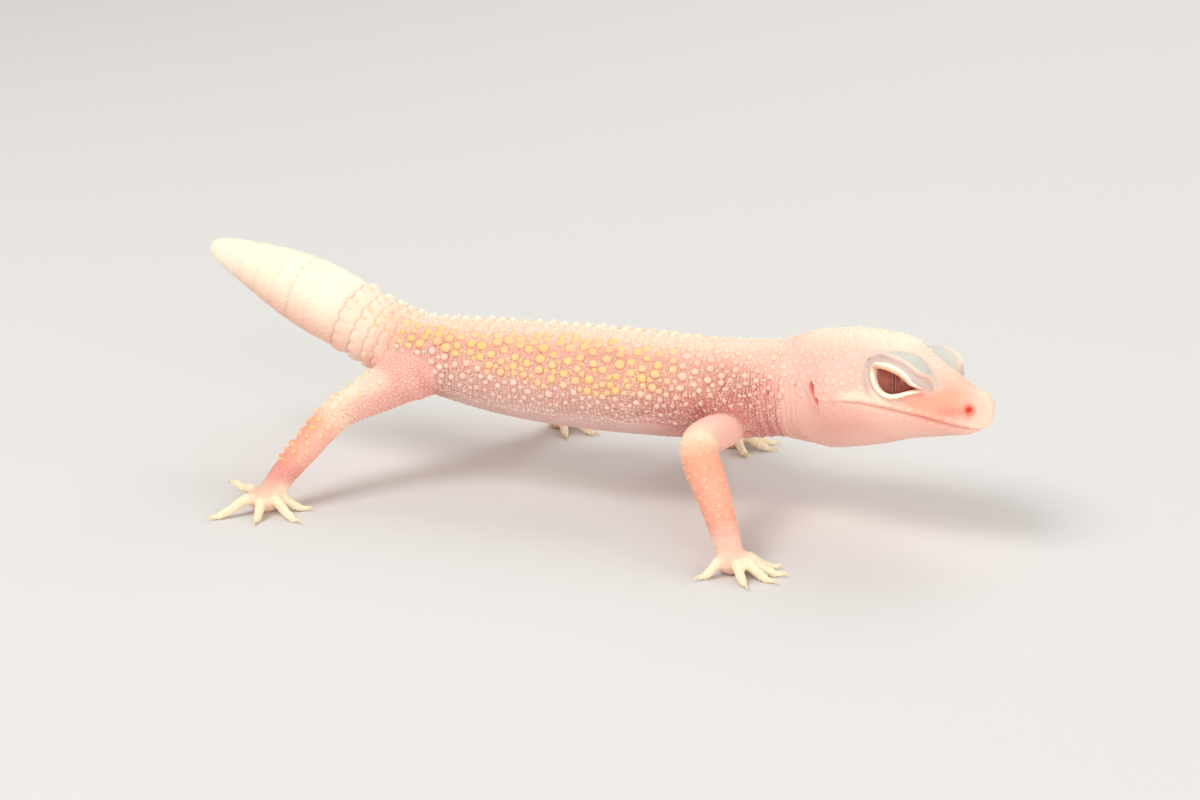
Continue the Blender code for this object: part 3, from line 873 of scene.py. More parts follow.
@dataclass
class Anatomy:
    """All the sizes of the body, its flesh, and the way to say where a place is on it."""

    spine: Spine = field(default_factory=Spine)
    head: HeadForm = field(default_factory=HeadForm)
    eye_place: Triple = (14.9, 6.1, 5.3)
    eye_radius: float = 4.5
    lid_thickness: float = 0.8
    brows: dict[str, float] = field(default_factory=lambda: {"right": 0.0, "left": 1.1})
    eye_outlook: float = -0.30
    slit_tilt: float = 20.0
    limbs: tuple[Limb, ...] = field(default_factory=lambda: (
        Limb("front_right", LimbKind.ARM, ((31.9, -3.8, 18.4), (27.4, -17.8, 16.6), (36.5, -32.5, 5.9),
                                           (37.8, -34.0, 2.0)),
             ((26.0, 6.8), (2.0, 7.6), (-22.0, 7.4), (-58.0, 6.7), (-129.0, 5.7))),
        Limb("front_left", LimbKind.ARM, ((30.9, 7.2, 18.4), (18.4, 19.9, 18.5), (20.9, 28.7, 5.9),
                                          (21.4, 30.3, 2.0)),
             ((-50.0, 6.2), (-4.0, 7.6), (22.0, 7.8), (56.0, 7.4), (104.0, 6.2))),
        Limb("hind_right", LimbKind.LEG, ((-31.1, -1.9, 21.2), (-42.5, -16.0, 15.0), (-49.1, -27.2, 6.0),
                                          (-51.4, -29.3, 2.0)),
             ((12.0, 6.6), (-30.0, 8.4), (-80.0, 6.4), (-132.0, 9.2), (154.0, 8.2)), lifted=5),
        Limb("hind_left", LimbKind.LEG, ((-30.1, 5.5, 20.6), (-20.1, 20.1, 18.6), (-15.7, 29.9, 6.0),
                                         (-14.5, 32.1, 2.0)),
             ((-62.0, 6.6), (-22.0, 8.0), (14.0, 9.0), (50.0, 9.4), (104.0, 7.6)))))
    haunches: tuple[Triple, ...] = ((-31.0, -6.0, 20.6), (-28.5, 9.4, 20.6))
    haunch_size: Triple = (5.6, 5.2, 4.7)
    body_voxel: float = 0.6
    body_rounds: int = 9
    skin_voxel: float = 0.53
    skin_rounds: int = 2
    floor_clearance: float = 0.02

    def eyes(self) -> dict[str, EyeFrame]:
        """The two eyes' frames, by side.

        Returns:
            A frame for each side.
        """
        made = {}
        for word, side in (("right", -1.0), ("left", 1.0)):
            axes = self.head.axes
            out = unit(axes @ np.array([self.eye_outlook, side, 0.0]))
            up = unit(axes[:, 2] - out * (axes[:, 2] @ out))
            back = np.cross(up, out) * side
            tilt = np.array(Matrix.Rotation(math.radians(self.slit_tilt) * side, 3, Vector(out)))
            centre = self.head.out(np.array(self.eye_place) * np.array([1.0, side, 1.0]))
            made[word] = EyeFrame(centre, np.stack([tilt @ back, tilt @ up, out], 1),
                                  np.stack([back, up, out], 1), self.brows[word])
        return made

    def flesh(self) -> Shell:
        """The whole animal's flesh as one closed skin, its feet flat on the floor.

        Returns:
            The skin.
        """
        orbit = self.eye_radius + self.lid_thickness
        body = [self.spine.shell(), *self.head.shells(orbit, np.array(self.eye_place))]
        for limb in self.limbs:
            body += limb.bars()
        for haunch in self.haunches:
            body.append(Shell.ball(np.array(haunch), np.array(self.haunch_size), np.eye(3)))
        whole = Shell.joined(body).remeshed(self.body_voxel, self.body_rounds)
        hands = [solid for limb in self.limbs for solid in limb.hand()]
        return Shell.joined([whole, *hands]).remeshed(self.skin_voxel, self.skin_rounds).largest()

    @staticmethod
    def haunch(where: Whereabouts) -> Floats:
        """1 on the hind legs' thighs, whose fine scales are coarser, 0 elsewhere."""
        return (where.limb >= 2) * (where.limb_share > 0.5) * (1.0 - ramp(where.limb_along, 2.1, 2.7))

    def where(self, places: Floats) -> Whereabouts:
        """Where each place is on the animal.

        Args:
            places: rows of places.

        Returns:
            What is told of them.
        """
        along, turn, swell = self.spine.loft.where(places)
        rings = np.arange(len(self.spine.arc))
        head = self.head.into(places)
        _, _, head_swell = self.head.loft.where(places)
        low_ground = 1.0 - ramp(places[:, 2], 8.0, 11.0)
        head_share = (1.0 - ramp(head[:, 0], 33.0, 41.0)) * (1.0 - ramp(head_swell, 1.3, 1.7))
        head_share = head_share * (1 - low_ground)
        found = [limb.where(places) for limb in self.limbs]
        limb = np.argmin([gap for _, gap, _ in found], axis=0)
        pick = (limb, np.arange(len(places)))
        limb_along = np.array([row[0] for row in found])[pick]
        limb_gap = np.array([row[1] for row in found])[pick]
        limb_share = np.maximum(ramp(swell, 1.05, 1.4) * (1.0 - ramp(limb_gap, 1.4, 1.9)), low_ground)
        for haunch in self.haunches:
            far = lengths((places - np.array(haunch)) / np.array(self.haunch_size))
            limb_share = np.maximum(limb_share, (1.0 - ramp(far, 1.0, 1.25)) * ramp(swell, 0.98, 1.10))
        limb_share = limb_share * (1.0 - head_share)
        hand = (1.0 - ramp(places[:, 2], 4.5, 7.5)) * ramp(limb_along, 3.6, 4.4)
        lie = -rows_at(self.spine.ahead, along)
        for k, one in enumerate(self.limbs):
            here = limb == k
            run = unit(np.gradient(one.line, axis=0))
            spots = np.where(limb_along > 4, limb_along + len(one.line) - 6, limb_along * one.per_span)[here]
            away = unit(places[here] - one.palm)
            limb_lie = rows_at(run, spots) * (1 - hand[here, None]) + away * hand[here, None]
            lie[here] = unit(lie[here] * (1 - limb_share[here, None]) + limb_lie * limb_share[here, None])
        lie = unit(lie * (1 - head_share[:, None]) + self.head.axes[:, 0] * head_share[:, None])
        return Whereabouts(places, np.interp(along, rings, self.spine.loft.centres[:, 0]),
                           np.interp(along, rings, self.spine.arc), turn, head, head_share, limb, limb_along,
                           limb_gap, limb_share, hand, lie, np.sign(turn))


# --- Carving the skin


def profile(head: Floats) -> Floats:
    """Head places seen from the side: distance behind the snout, and height."""
    return np.stack([head[:, 0], head[:, 2]], 1)


def mirrored(head: Floats) -> Floats:
    """Head places with those on the right brought over to the left."""
    return np.stack([head[:, 0], np.abs(head[:, 1]), head[:, 2]], 1)


def inside_loop(spots: Floats, loop: Floats) -> NDArray[np.bool_]:
    """Whether each spot of a plane lies inside a closed loop.

    Args:
        spots: rows of places in the plane.
        loop: the loop's corners.

    Returns:
        True for each spot that is inside.
    """
    inside = np.zeros(len(spots), bool)
    for (x0, y0), (x1, y1) in zip(loop, np.roll(loop, -1, axis=0)):
        spans = (y0 > spots[:, 1]) != (y1 > spots[:, 1])
        rise = (y1 - y0) if y1 != y0 else 1e-9
        inside ^= spans & (spots[:, 0] < x0 + (spots[:, 1] - y0) * (x1 - x0) / rise)
    return inside


@dataclass
class LidOpening:
    """The almond between the lids, in an eye's frame: backwards and up."""

    corners: Floats = table([
        (4.25, 0.05), (3.35, 0.62), (1.70, 1.00), (-0.10, 1.02), (-1.60, 0.62), (-2.75, 0.12), (-4.35, -0.10),
        (-3.40, -0.66), (-2.46, -1.30), (-1.46, -2.05), (-0.30, -2.66), (0.90, -2.80), (2.10, -2.42),
        (3.25, -1.50)])
    per_span: int = 5
    socket: float = 3.7
    reach: float = 7.6

    def loop(self) -> Floats:
        """The opening's closed outline."""
        return smooth_line(self.corners, self.per_span, closed=True)

    def gap(self, spots: Floats) -> Floats:
        """How far outside the outline each spot is, negative inside it.

        Args:
            spots: places in an eye's frame, backwards and up.

        Returns:
            Distances.
        """
        loop = self.loop()
        far, _ = nearest_on_line(spots, np.vstack([loop, loop[:1]]))
        return np.where(inside_loop(spots, loop), -far, far)


@dataclass
class Relief:
    """What is pressed into or raised from the skin: height along the normal, and how deep its creases are,
    which sets the shade painted into them.
    """

    where: Whereabouts
    height: Floats = field(init=False)
    crease: Floats = field(init=False)

    def __post_init__(self) -> None:
        """Starts with a plain skin."""
        self.height = np.zeros(len(self.where.places))
        self.crease = np.zeros(len(self.where.places))

    def press(self, depth: float, shape: Floats, painted_shade: float = 1.0) -> None:
        """Presses a shape in by this depth, and counts it as a crease, with the last share as the shade
        painted into it.
        """
        self.height -= depth * shape
        self.crease = np.maximum(self.crease, painted_shade * shape)

    def raise_up(self, height: float, shape: Floats) -> None:
        """Raises a shape by this height."""
        self.height += height * shape


@dataclass(frozen=True)
class Grain:
    """The longest edges that the skin's mesh should have, by part."""

    plain: float = 0.95
    folded: float = 0.60
    orbit: float = 0.40
    tail: float = 0.39
    lips: float = 0.33
    lids: float = 0.27
    ear: float = 0.26
    nostril: float = 0.24


@dataclass
class Carver:
    """Everything that is sculpted into the skin: lids, mouth, ears, nostrils, folds, whorls and joints."""

    anatomy: Anatomy
    opening: LidOpening = field(default_factory=LidOpening)
    grain: Grain = Grain()
    coat_depth: float = 0.26
    face_depth: float = 0.12
    nostril: Triple = (2.3, 4.0, 0.5)
    ear: Floats = table([
        (30.0, 3.9), (29.8, 3.0), (29.3, 2.0), (28.7, 1.1), (28.0, 0.4), (27.6, -0.2)])
    ear_widths: tuple[float, ...] = (0.14, 0.54, 0.50, 0.26, 0.50, 0.18)
    whorl_edges: tuple[float, ...] = (-46.6, -43.1, -40.2, -37.8, -35.5)
    whorl_length: float = 2.3
    whorl_step: float = 0.72
    plates_round: float = 8.0
    neck_folds: tuple[Triple, ...] = (
        (38.6, 0.65, 0.60), (36.6, 0.40, 0.50), (40.8, 0.32, 0.45), (34.9, 0.28, 0.45))
    tail_rings: tuple[tuple[float, float], ...] = (
        (-53.4, 0.10), (-57.4, 0.26), (-61.5, 0.13), (-65.6, 0.16), (-69.3, 0.11))

    def fine_edge(self, places: Floats) -> Floats:
        """The longest edge that the mesh should have at each place.

        Args:
            places: rows of places.

        Returns:
            A length for each.
        """
        head, grain = self.anatomy.head.into(places), self.grain
        longest = np.full(len(places), grain.plain)
        face = between(head[:, 0], -2, 38, 1) * (places[:, 2] > 11)
        for eye in self.anatomy.eyes().values():
            far = lengths(places - eye.centre)
            longest = np.where((far < 7.2) & (face > 0), grain.orbit, longest)
            local = eye.into(places)
            near = (local[:, 2] > 2) & (far < 7.0)
            near &= (np.abs(local[:, 0]) < 5.2) & (np.abs(local[:, 1] + 0.8) < 3.2)
            longest = np.where(near, grain.lids, longest)
        side = profile(head)
        lips, _ = nearest_on_line(side, self.anatomy.head.mouth)
        longest = np.where((lips < 1.1) & (face > 0), grain.lips, longest)
        slit, _ = nearest_on_line(side, self.ear)
        longest = np.where((slit < 2.0) & (np.abs(head[:, 1]) > 6) & (face > 0), grain.ear, longest)
        longest = np.where(self.nostril_gap(head) < 2.2, grain.nostril, longest)
        tail = (places[:, 0] < -34.5) & (places[:, 0] > -48.5) & (places[:, 2] > 18)
        neck = (places[:, 0] > 22) & (places[:, 0] < 45) & (places[:, 2] > 10) & (head[:, 0] > 32)
        folded = neck | (places[:, 2] < 6.0)
        longest = np.where(folded, np.minimum(longest, grain.folded), longest)
        return np.where(tail, grain.tail, longest)

    def carve(self, shell: Shell) -> tuple[Shell, Whereabouts, Relief]:
        """Carves the skin.

        Args:
            shell: the flesh.

        Returns:
            The finished skin, where its points are, and what was carved.
        """
        shell = shell.refined(self.fine_edge, 3)
        shell = shell.relaxed(2, 0.4)
        where = self.anatomy.where(shell.places)
        depth = self.coat_depth + (self.face_depth - self.coat_depth) * np.maximum(where.head_share,
                                                                                   where.hand_share)
        relief = Relief(where)
        relief.height -= depth
        # Each press also sets how much shade is painted into its crease.
        self._lids(relief)
        self._mouth(relief)
        self._pits(relief)
        self._head_form(relief)
        self._neck(relief)
        self._flanks(relief)
        self._limb_folds(relief)
        self._tail(relief)
        places = shell.places + shell.normals() * relief.height[:, None]
        places = self._sockets(places)
        places[:, 2] = np.maximum(places[:, 2], self.anatomy.floor_clearance)
        return Shell(places, shell.faces), where, relief

    def lid_spots(self, places: Floats, eye: EyeFrame) -> tuple[Floats, Floats, Floats]:
        """Places told from an eye's opening.

        Args:
            places: model places.
            eye: the eye.

        Returns:
            Places in the eye's frame, gap outside the opening, and 1 on the eye's own ball and 0 far from it.
        """
        local = eye.into(places)
        far = lengths(local)
        near = (1.0 - ramp(far, 6.2, 8.6)) * ramp(local[:, 2] + 2.6 * eye.brow, -1.0, 1.0)
        return local, self.opening.gap(local[:, :2]), near

    @staticmethod
    def inner_slope(local: Floats, eye: EyeFrame) -> Floats:
        """1 on the inner slope of an orbit whose lid's crest is drawn up, 0 elsewhere."""
        return (1.0 - ramp(local[:, 2], -0.2, 2.4)) * (eye.brow > 0) * ramp(local[:, 1], 0.5, 2.5)

    def _lids(self, relief: Relief) -> None:
        """The upper lid's fold, the orbit's rim and the groove under the lower lid.

        Args:
            relief: what is carved.
        """
        for eye in self.anatomy.eyes().values():
            local, gap, near = self.lid_spots(relief.where.places, eye)
            upper = ramp(local[:, 1], -0.4, 0.9) * near * (1 - self.inner_slope(local, eye))
            lower = (1.0 - ramp(local[:, 1], -1.2, 0.2)) * near
            relief.press(0.30, bell(gap - 2.10, 0.24) * upper, 0.10)
            relief.raise_up(0.14, bell(gap - 1.55, 0.40) * upper)
            crest = bell(gap - 2.65 - eye.brow, 0.40 + 0.15 * eye.brow)
            relief.raise_up(0.34 + 0.10 * eye.brow, crest * upper)
            relief.press(0.30, bell(gap - 1.12, 0.28) * lower, 0.45)
            relief.raise_up(0.14, bell(gap - 1.9, 0.5) * lower)
            relief.press(0.22, bell(lengths(local) - 6.6, 0.6) * near
                         * ramp(local[:, 0], 1.0, 4.0) * (1 - upper), 0.15)

    def _sockets(self, places: Floats) -> Floats:
        """Sinks the skin behind each eyeball, inside the opening.

        Args:
            places: the skin's places.

        Returns:
            The sunk places.
        """
        for eye in self.anatomy.eyes().values():
            local = eye.into(places)
            radius = lengths(local)
            inner = (local[:, 2] > 1.0) & (radius < self.opening.reach)
            gap = self.opening.gap(local[:, :2])
            share = (1.0 - ramp(gap, 0.16, 0.48)) * inner
            aim = radius * (1 - share) + self.opening.socket * share
            places = eye.out(local * (aim / radius)[:, None])
        return places

    def lip_gap(self, head: Floats) -> Floats:
        """How far above the mouth's line each head place is.

        Args:
            head: head places.

        Returns:
            Distances, negative below the line.
        """
        side, mouth = profile(head), self.anatomy.head.mouth
        far, _ = nearest_on_line(side, mouth)
        return far * np.sign(side[:, 1] - np.interp(side[:, 0], mouth[:, 0], mouth[:, 1]))

    def _mouth(self, relief: Relief) -> None:
        """The mouth's line, the upper lip that overhangs it and the fold at its corner.

        Args:
            relief: what is carved.
        """
        head = relief.where.head
        gap = self.lip_gap(head)
        reach = relief.where.head_share * (1.0 - ramp(head[:, 0], 20.0, 25.0))
        relief.press(0.32, bell(gap + 0.05, 0.26) * reach, 0.32)
        relief.raise_up(0.20, bell(gap - 0.75, 0.55) * reach)
        relief.press(0.16, bell(gap + 0.55, 0.45) * reach, 0.1)
        corner = np.hypot(head[:, 0] - 24.6, head[:, 2] - 0.4)
        relief.press(0.30, bell(corner, 0.8) * relief.where.head_share * (np.abs(head[:, 1]) > 4), 0.35)
        chin = bell(head[:, 0] - 1.2, 1.5) * bell(head[:, 1], 0.5) * (head[:, 2] < -3.2)
        relief.press(0.12, chin * relief.where.head_share, 0.2)

    def ear_gap(self, head: Floats) -> Floats:
        """Distance from the ear's slit as a share of its half width there.

        Args:
            head: head places.

        Returns:
            A share for each place.
        """
        far, along = nearest_on_line(profile(head), self.ear)
        wide = np.interp(along, np.arange(len(self.ear_widths)), self.ear_widths)
        return np.where(np.abs(head[:, 1]) > 6.0, far / wide, 20.0)

    def nostril_gap(self, head: Floats) -> Floats:
        """Distance from the nearer nostril."""
        return lengths(mirrored(head) - np.array(self.nostril))

    def _pits(self, relief: Relief) -> None:
        """The ears' slits and the nostrils.

        Args:
            relief: what is carved.
        """
        head, share = relief.where.head, relief.where.head_share
        ear = self.ear_gap(head)
        relief.press(0.95, (1.0 - ramp(ear, 0.25, 1.35)) * share, 0.5)
        relief.raise_up(0.22, bell(ear - 2.0, 0.9) * share)
        pit = self.nostril_gap(head)
        relief.press(0.60, (1.0 - ramp(pit, 0.15, 0.66)) * share, 0.35)
        relief.raise_up(0.14, bell(pit - 0.95, 0.35) * share)

    def _head_form(self, relief: Relief) -> None:
        """Hollows before the eyes, creases of the throat, and the soft unevenness of skin over bone.

        Args:
            relief: what is carved.
        """
        where = relief.where
        head, share = where.head, where.head_share
        folded = mirrored(head)
        for height, middle, size in ((-0.45, [8.6, 5.2, 3.6], [3.4, 2.4, 2.0]),
                                     (-0.50, [14.0, 6.8, 10.4], [4.5, 3.0, 2.2]),
                                     (0.65, [15.5, 0.8, 11.4], [4.2, 3.2, 3.0])):
            far = lengths((folded - np.array(middle)) / np.array(size))
            relief.raise_up(height, bell(far, 1.0) * share)
        relief.raise_up(0.10, ripple(where.places, 6.0, 3) * share)
        throat = ramp(head[:, 0], 12, 24) * ramp(-head[:, 2], 1.5, 5.0) * share
        phase = head[:, 0] / 1.9 + 0.5 * ripple(where.places, 8.0, 4)
        relief.press(0.16, furrow(phase, 3.0) * throat * ramp(ripple(where.places, 5.0, 5), -0.7, 0.5), 0.22)

    def _neck(self, relief: Relief) -> None:
        """Fine upright folds round the neck, and the deep ones where it meets the shoulder.

        Args:
            relief: what is carved.
        """
        where = relief.where
        low = ramp(np.abs(where.turn), 0.55, 1.25) * (1 - where.limb_share)
        neck = between(where.spine_x, 30.0, 50.0, 4.0) * low * ramp(where.head[:, 0], 31.5, 34.0)
        warp = ripple(where.places, 9.0, 6)
        relief.press(0.26, furrow(where.spine_x / 1.15 + 0.40 * warp, 1.4) * neck, 0.28)
        for x, depth, width in self.neck_folds:
            bent = where.spine_x - x - 0.45 * warp - 0.5 * np.cos(where.turn)
            shape = bell(bent, width) * low * ramp(np.abs(where.turn), 0.8, 1.5)
            relief.press(depth, shape, 0.60)

    def _flanks(self, relief: Relief) -> None:
        """Fine upright wrinkles between the scales, and the fold along the belly's edge.

        Args:
            relief: what is carved.
        """
        where = relief.where
        body = (1 - where.limb_share) * (1 - where.head_share)
        trunk = between(where.spine_x, -38, 40, 4) * body
        warp = ripple(where.places, 7.0, 7)
        patches = ramp(ripple(where.places, 8.0, 8), -0.6, 0.6)
        side = between(np.abs(where.turn), 0.6, 2.3, 0.3)
        relief.press(0.13, furrow(where.spine_x / 0.95 + 0.8 * warp, 1.5) * trunk * side * patches, 0.30)
        rear = between(where.spine_x, -34, -24, 3) * ramp(np.abs(where.turn), 1.0, 1.6) * body
        relief.press(0.26, furrow(where.spine_x / 1.3 + 0.6 * warp, 1.5) * rear, 0.40)
        seam = np.abs(where.turn) - 1.80 - 0.015 * (where.spine_x - 15.0) - 0.06 * warp
        front = between(where.spine_x, 10, 26, 4) * body
        for shift, depth in ((0.0, 0.42), (0.17, 0.34), (-0.16, 0.30)):
            relief.press(depth, bell(seam - shift, 0.050) * front, 0.45)
            relief.raise_up(0.16, bell(seam - shift - 0.08, 0.035) * front)
        relief.press(0.55, self.groin(where) * body, 0.5)

    @staticmethod
    def groin(where: Whereabouts) -> Floats:
        """1 in the deep fold before and under each thigh, falling to 0 round it.

        Args:
            where: the places.

        Returns:
            A share for each place.
        """
        lean = 0.35 * (where.places[:, 2] - 21.0)
        far = np.hypot((where.places[:, 0] + 27.6 + lean) / 1.35, (where.places[:, 2] - 20.5) / 4.8)
        return bell(far, 1.0) * (np.abs(where.places[:, 1] - 1.8) > 6.0)

    def _limb_folds(self, relief: Relief) -> None:
        """Wrinkles that fan out from where each limb leaves the body, and creases at its bends and toes.

        Args:
            relief: what is carved.
        """
        where = relief.where
        warp = ripple(where.places, 5.0, 9)
        for k, limb in enumerate(self.anatomy.limbs):
            spot, side = limb.exit()
            here = (where.side == side) * (1 - where.limb_share) * (where.places[:, 2] > 9)
            run, rise = where.places[:, 0] - spot[0], where.places[:, 2] - spot[2]
            far = np.hypot(run, rise * 1.15)
            fan = np.arctan2(rise, run) / TAU
            arm = limb.kind is LimbKind.ARM
            reach = ramp(far, 2.0, 3.5) * (1.0 - ramp(far, *((7.5, 13.5) if arm else (5.5, 9.0)))) * here
            ahead = 1.0 - 0.8 * ramp(run, 1.0, 5.0) if arm else ramp(run, -1.0, 2.5)
            relief.press(0.46 if arm else 0.26, furrow(fan * 20 + 0.55 * warp, 1.5) * reach * ahead, 0.50)
            near = here * bell(far - 4.6, 1.1)
            relief.press(0.45, near * (ramp(rise, -4, -1) if arm else ramp(run, 0, 2)), 0.42)
            mine = (where.limb == k) * where.limb_share
            relief.press(0.20, furrow(where.limb_along * 6.5 + 0.4 * warp, 2.0)
                         * bell(where.limb_along - 2.0, 0.34) * mine, 0.30)
            relief.press(0.16, furrow(where.limb_along * 7.0 + 0.4 * warp, 2.0)
                         * bell(where.limb_along - 4.0, 0.5) * mine * (1 - 0.5 * where.hand_share), 0.18)
            palm = lengths((where.places - limb.palm)[:, :2])
            toes = ramp(palm, 2.8, 3.6) * where.hand_share * (where.limb == k)
            relief.raise_up(0.20, toes)
            relief.press(0.09, furrow(palm / 0.95, 1.3) * toes, 0.04)

    def whorl_phase(self, where: Whereabouts) -> Floats:
        """Where each place is on the tail's whorls: whole numbers at their rear edges, fractions between.

        Args:
            where: the places.

        Returns:
            A phase for each place.
        """
        scallop = 0.40 * np.abs(np.cos(where.turn * self.plates_round)) ** 0.7
        x = where.spine_x + (scallop + 0.10 * ripple(where.places, 5.0, 10))
        edges = np.array([*self.whorl_edges[::-1], self.whorl_edges[0] - 3.0])
        inner = np.interp(-x, -edges, np.arange(1, 1 + len(edges)), left=0.0, right=len(edges) - 0.001)
        lead = np.clip((edges[0] + self.whorl_length - x) / self.whorl_length, 0, 1)
        return inner + np.where(-x < -edges[0], lead, 0)

    def _tail(self, relief: Relief) -> None:
        """The overlapping whorls at the tail's base and the faint rings of its regrown end.

        Args:
            relief: what is carved.
        """
        where = relief.where
        body = 1 - where.limb_share
        phase = self.whorl_phase(where)
        on = ((phase > 0.0) & (phase < len(self.whorl_edges) + 0.9)) * body
        part = phase - np.floor(phase)
        fall = 1.0 - ramp(part, 0.0, 0.20)
        before = phase < len(self.whorl_edges)
        plates = 1.0 - 0.42 * furrow(where.turn * self.plates_round / math.pi + 0.5, 1.6)
        relief.raise_up(self.whorl_step, (ramp(part, 0.05, 0.80) * plates - 0.35) * on * before)
        relief.press(0.20, fall * on * (phase >= 1.0), 0.55)
        cone = (1.0 - ramp(where.spine_x, -54.0, -50.5)) * body
        warp = ripple(where.places, 12.0, 11)
        strength = 0.5 + 0.5 * ripple(np.stack([where.spine_x, np.zeros(len(body))], 1), 5.0, 12)
        rings = furrow(where.spine_x / 1.9 + 0.12 * warp, 3.0) * cone
        relief.press(0.14, rings * np.clip(strength, 0.1, 1), 0.12)
        for x, depth in self.tail_rings:
            relief.press(depth, bell(where.spine_x - x - 0.35 * warp, 0.34) * cone, depth * 1.2)


# --- Markings and painted shade, which skin and scales share


@dataclass
class Markings:
    """How much of each colour the skin has at each place, and where shade is painted on it."""

    anatomy: Anatomy
    carver: Carver

    def limb_middle(self, where: Whereabouts) -> Floats:
        """The middle of the nearest limb at each place.

        Args:
            where: the places.

        Returns:
            A place on a limb's line for each.
        """
        middle = np.zeros((len(where.places), 3))
        for k, limb in enumerate(self.anatomy.limbs):
            here = where.limb == k
            middle[here] = rows_at(limb.line, where.limb_along[here] * limb.per_span)
        return middle

    def _arm_pits(self, where: Whereabouts) -> Floats:
        """The red hollows behind the arms and before the legs.

        Args:
            where: the places.

        Returns:
            How red each place is.
        """
        skull, limb = where.head_share, where.limb_share
        red = np.zeros(len(where.places))
        for one in self.anatomy.limbs:
            spot, side = one.exit()
            run, rise, hidden, reach, most = one.kind.pit
            same = (where.side == side) * (where.places[:, 2] > 9)
            far = np.hypot(where.places[:, 0] - spot[0] + run, where.places[:, 2] - spot[2] + rise)
            bare = same * (1 - hidden * limb) * (1 - skull)
            red = np.maximum(red, bare * (1 - ramp(far, 3.5, reach)) * most)
        return red

    def _orbits(self, where: Whereabouts) -> tuple[Floats, Floats, Floats]:
        """The colours round the eyes.

        Args:
            where: the places.

        Returns:
            The blue-grey of the orbits with a painted blue-grey shadow behind each eye, the lilac of the
            upper lids, and the white of their crests.
        """
        blue, dusk, crest = np.zeros((3, len(where.places)))
        for eye in self.anatomy.eyes().values():
            local, lid, near = self.carver.lid_spots(where.places, eye)
            lid = np.where(lid > 1.2, np.maximum(lid - eye.brow, 1.2), lid)
            slope = self.carver.inner_slope(local, eye)
            upper = ramp(local[:, 1], -1.2, 1.0) * near * (1 - slope)
            ring = between(lid, 0.7, 2.2, 0.4) * upper
            # The term at the rear corner is a painted blue-grey shadow behind the eye.
            blue = np.max([blue, slope * (1 - ramp(lengths(local), 5.6, 7.0)),
                           between(lid, 3.0, 5.6, 1.1) * ramp(local[:, 1], -0.6, 1.4) * near, 0.42 * ring,
                           0.55 * between(lid, 0.9, 2.6, 1.0) * near * ramp(local[:, 0], 2.6, 4.8)], 0)
            dusk = np.maximum(dusk, ring)
            white = bell(lid - 2.55, 0.30 + 0.34 * eye.brow) * upper
            crest = np.maximum(crest, (0.80 + 0.2 * eye.brow) * white)
        return blue, dusk, crest

    def _reds(self, where: Whereabouts) -> Floats:
        """The red of nostrils, ears and the mouth's line.

        Args:
            where: the places.

        Returns:
            How red each place is.
        """
        head = where.head
        nose, ear, gap = self.carver.nostril_gap(head), self.carver.ear_gap(head), self.carver.lip_gap(head)
        streak, _ = nearest_on_line(profile(head), np.array([(2.3, 0.5), (7.0, -0.2)]))
        return where.head_share * np.max([
            1.25 * bell(nose, 1.05), 0.36 * bell(streak, 1.0) * (head[:, 0] < 8) * ramp(nose, 7.0, 3.0),
            0.52 * ramp(2.0 - ear, 0.0, 1.3), 0.36 * bell(gap, 0.30) * (1 - ramp(head[:, 0], 23, 26))], 0)

    def at(self, where: Whereabouts, crease: Floats) -> Fields:
        """The colours' shares.

        Args:
            where: the places.
            crease: how deep in a crease each one is, which is painted as shade.

        Returns:
            A share from 0 to 1 for each colour and painted shade, by name.
        """
        head, x, round_ = where.head, where.spine_x, where.down
        skull, limb, hand, along = where.head_share, where.limb_share, where.hand_share, where.limb_along
        turn, legs = np.degrees(where.turn), where.limb >= 2
        body = (1 - limb) * (1 - skull)
        mottle = ripple(where.places, 9.0, 21)
        head_turn = np.degrees(np.arctan2(np.abs(head[:, 1]), head[:, 2] + 1.5))
        gap = self.carver.lip_gap(head)
        palm = np.min([lengths((where.places - one.palm)[:, :2])
                       for one in self.anatomy.limbs], 0)

        crown = 0.85 * skull * (1 - ramp(head_turn, 4, 52)) * (1 - 0.45 * between(head[:, 0], 4, 13, 3))
        crown = np.maximum(crown, 0.55 * skull * (1 - ramp(head[:, 0], -0.5, 6.5)))
        lips = skull * between(gap, 0.2, np.interp(head[:, 0], [10, 16, 20, 25], [0.4, 2.6, 2.0, 0.3]), 1.1)
        lips = lips * between(head[:, 0], 13, 23, 4)
        back = body * np.maximum((1 - ramp(round_, 8, 50)) * 0.44, bell(turn - 21, 12))
        tail = body * (1 - 0.35 * between(x, -47, -36, 2) - 0.55 * ramp(x, -43, -34)) * (x < -33)
        tail = tail * (1 - 0.50 * ramp(round_, 70, 130) * ramp(x, -70, -60))
        toes = hand * ramp(palm, 1.2, 4.0)
        elbow = limb * bell(along - 2.15, 0.38) * np.where(legs, 0.45, 0.9)
        front, _, rise = (where.places - self.limb_middle(where)).T
        thigh_top = limb * legs * between(along, 1.1, 2.2, 0.4) * ramp(rise, 0.8, 3.2)
        cream = np.max([crown, 0.62 * lips, back, tail, toes, 0.45 * hand, elbow, 0.8 * thigh_top], 0)

        shin = limb * between(along, 2.5, 3.7, 0.5) * (1 - toes) * (1 - 0.55 * legs * ramp(front, 0.2, 1.5))
        snout = 1.3 * skull * bell(lengths((head - [7.4, 0, 1.9]) / [5.2, 20, 3.8]), 1.0)
        tail_low = body * (1 - ramp(x, -49, -43)) * ramp(round_, 60, 140) * ramp(x, -76, -66) * 0.55
        tail_low = np.maximum(tail_low, 0.22 * body * between(x, -38, -33.5, 2.5) * ramp(round_, 30, 60))
        orange = np.max([shin, snout, tail_low, 0.5 * hand * (1 - toes)], 0)

        # The lilac of belly and chin is painted shade on the belly, lower flanks and under the jaw.
        belly = body * ramp(round_, 76, 122) * between(x, -32, 38, 4)
        chin = skull * ramp(-head[:, 2], 3.0, 7.0) * 0.12

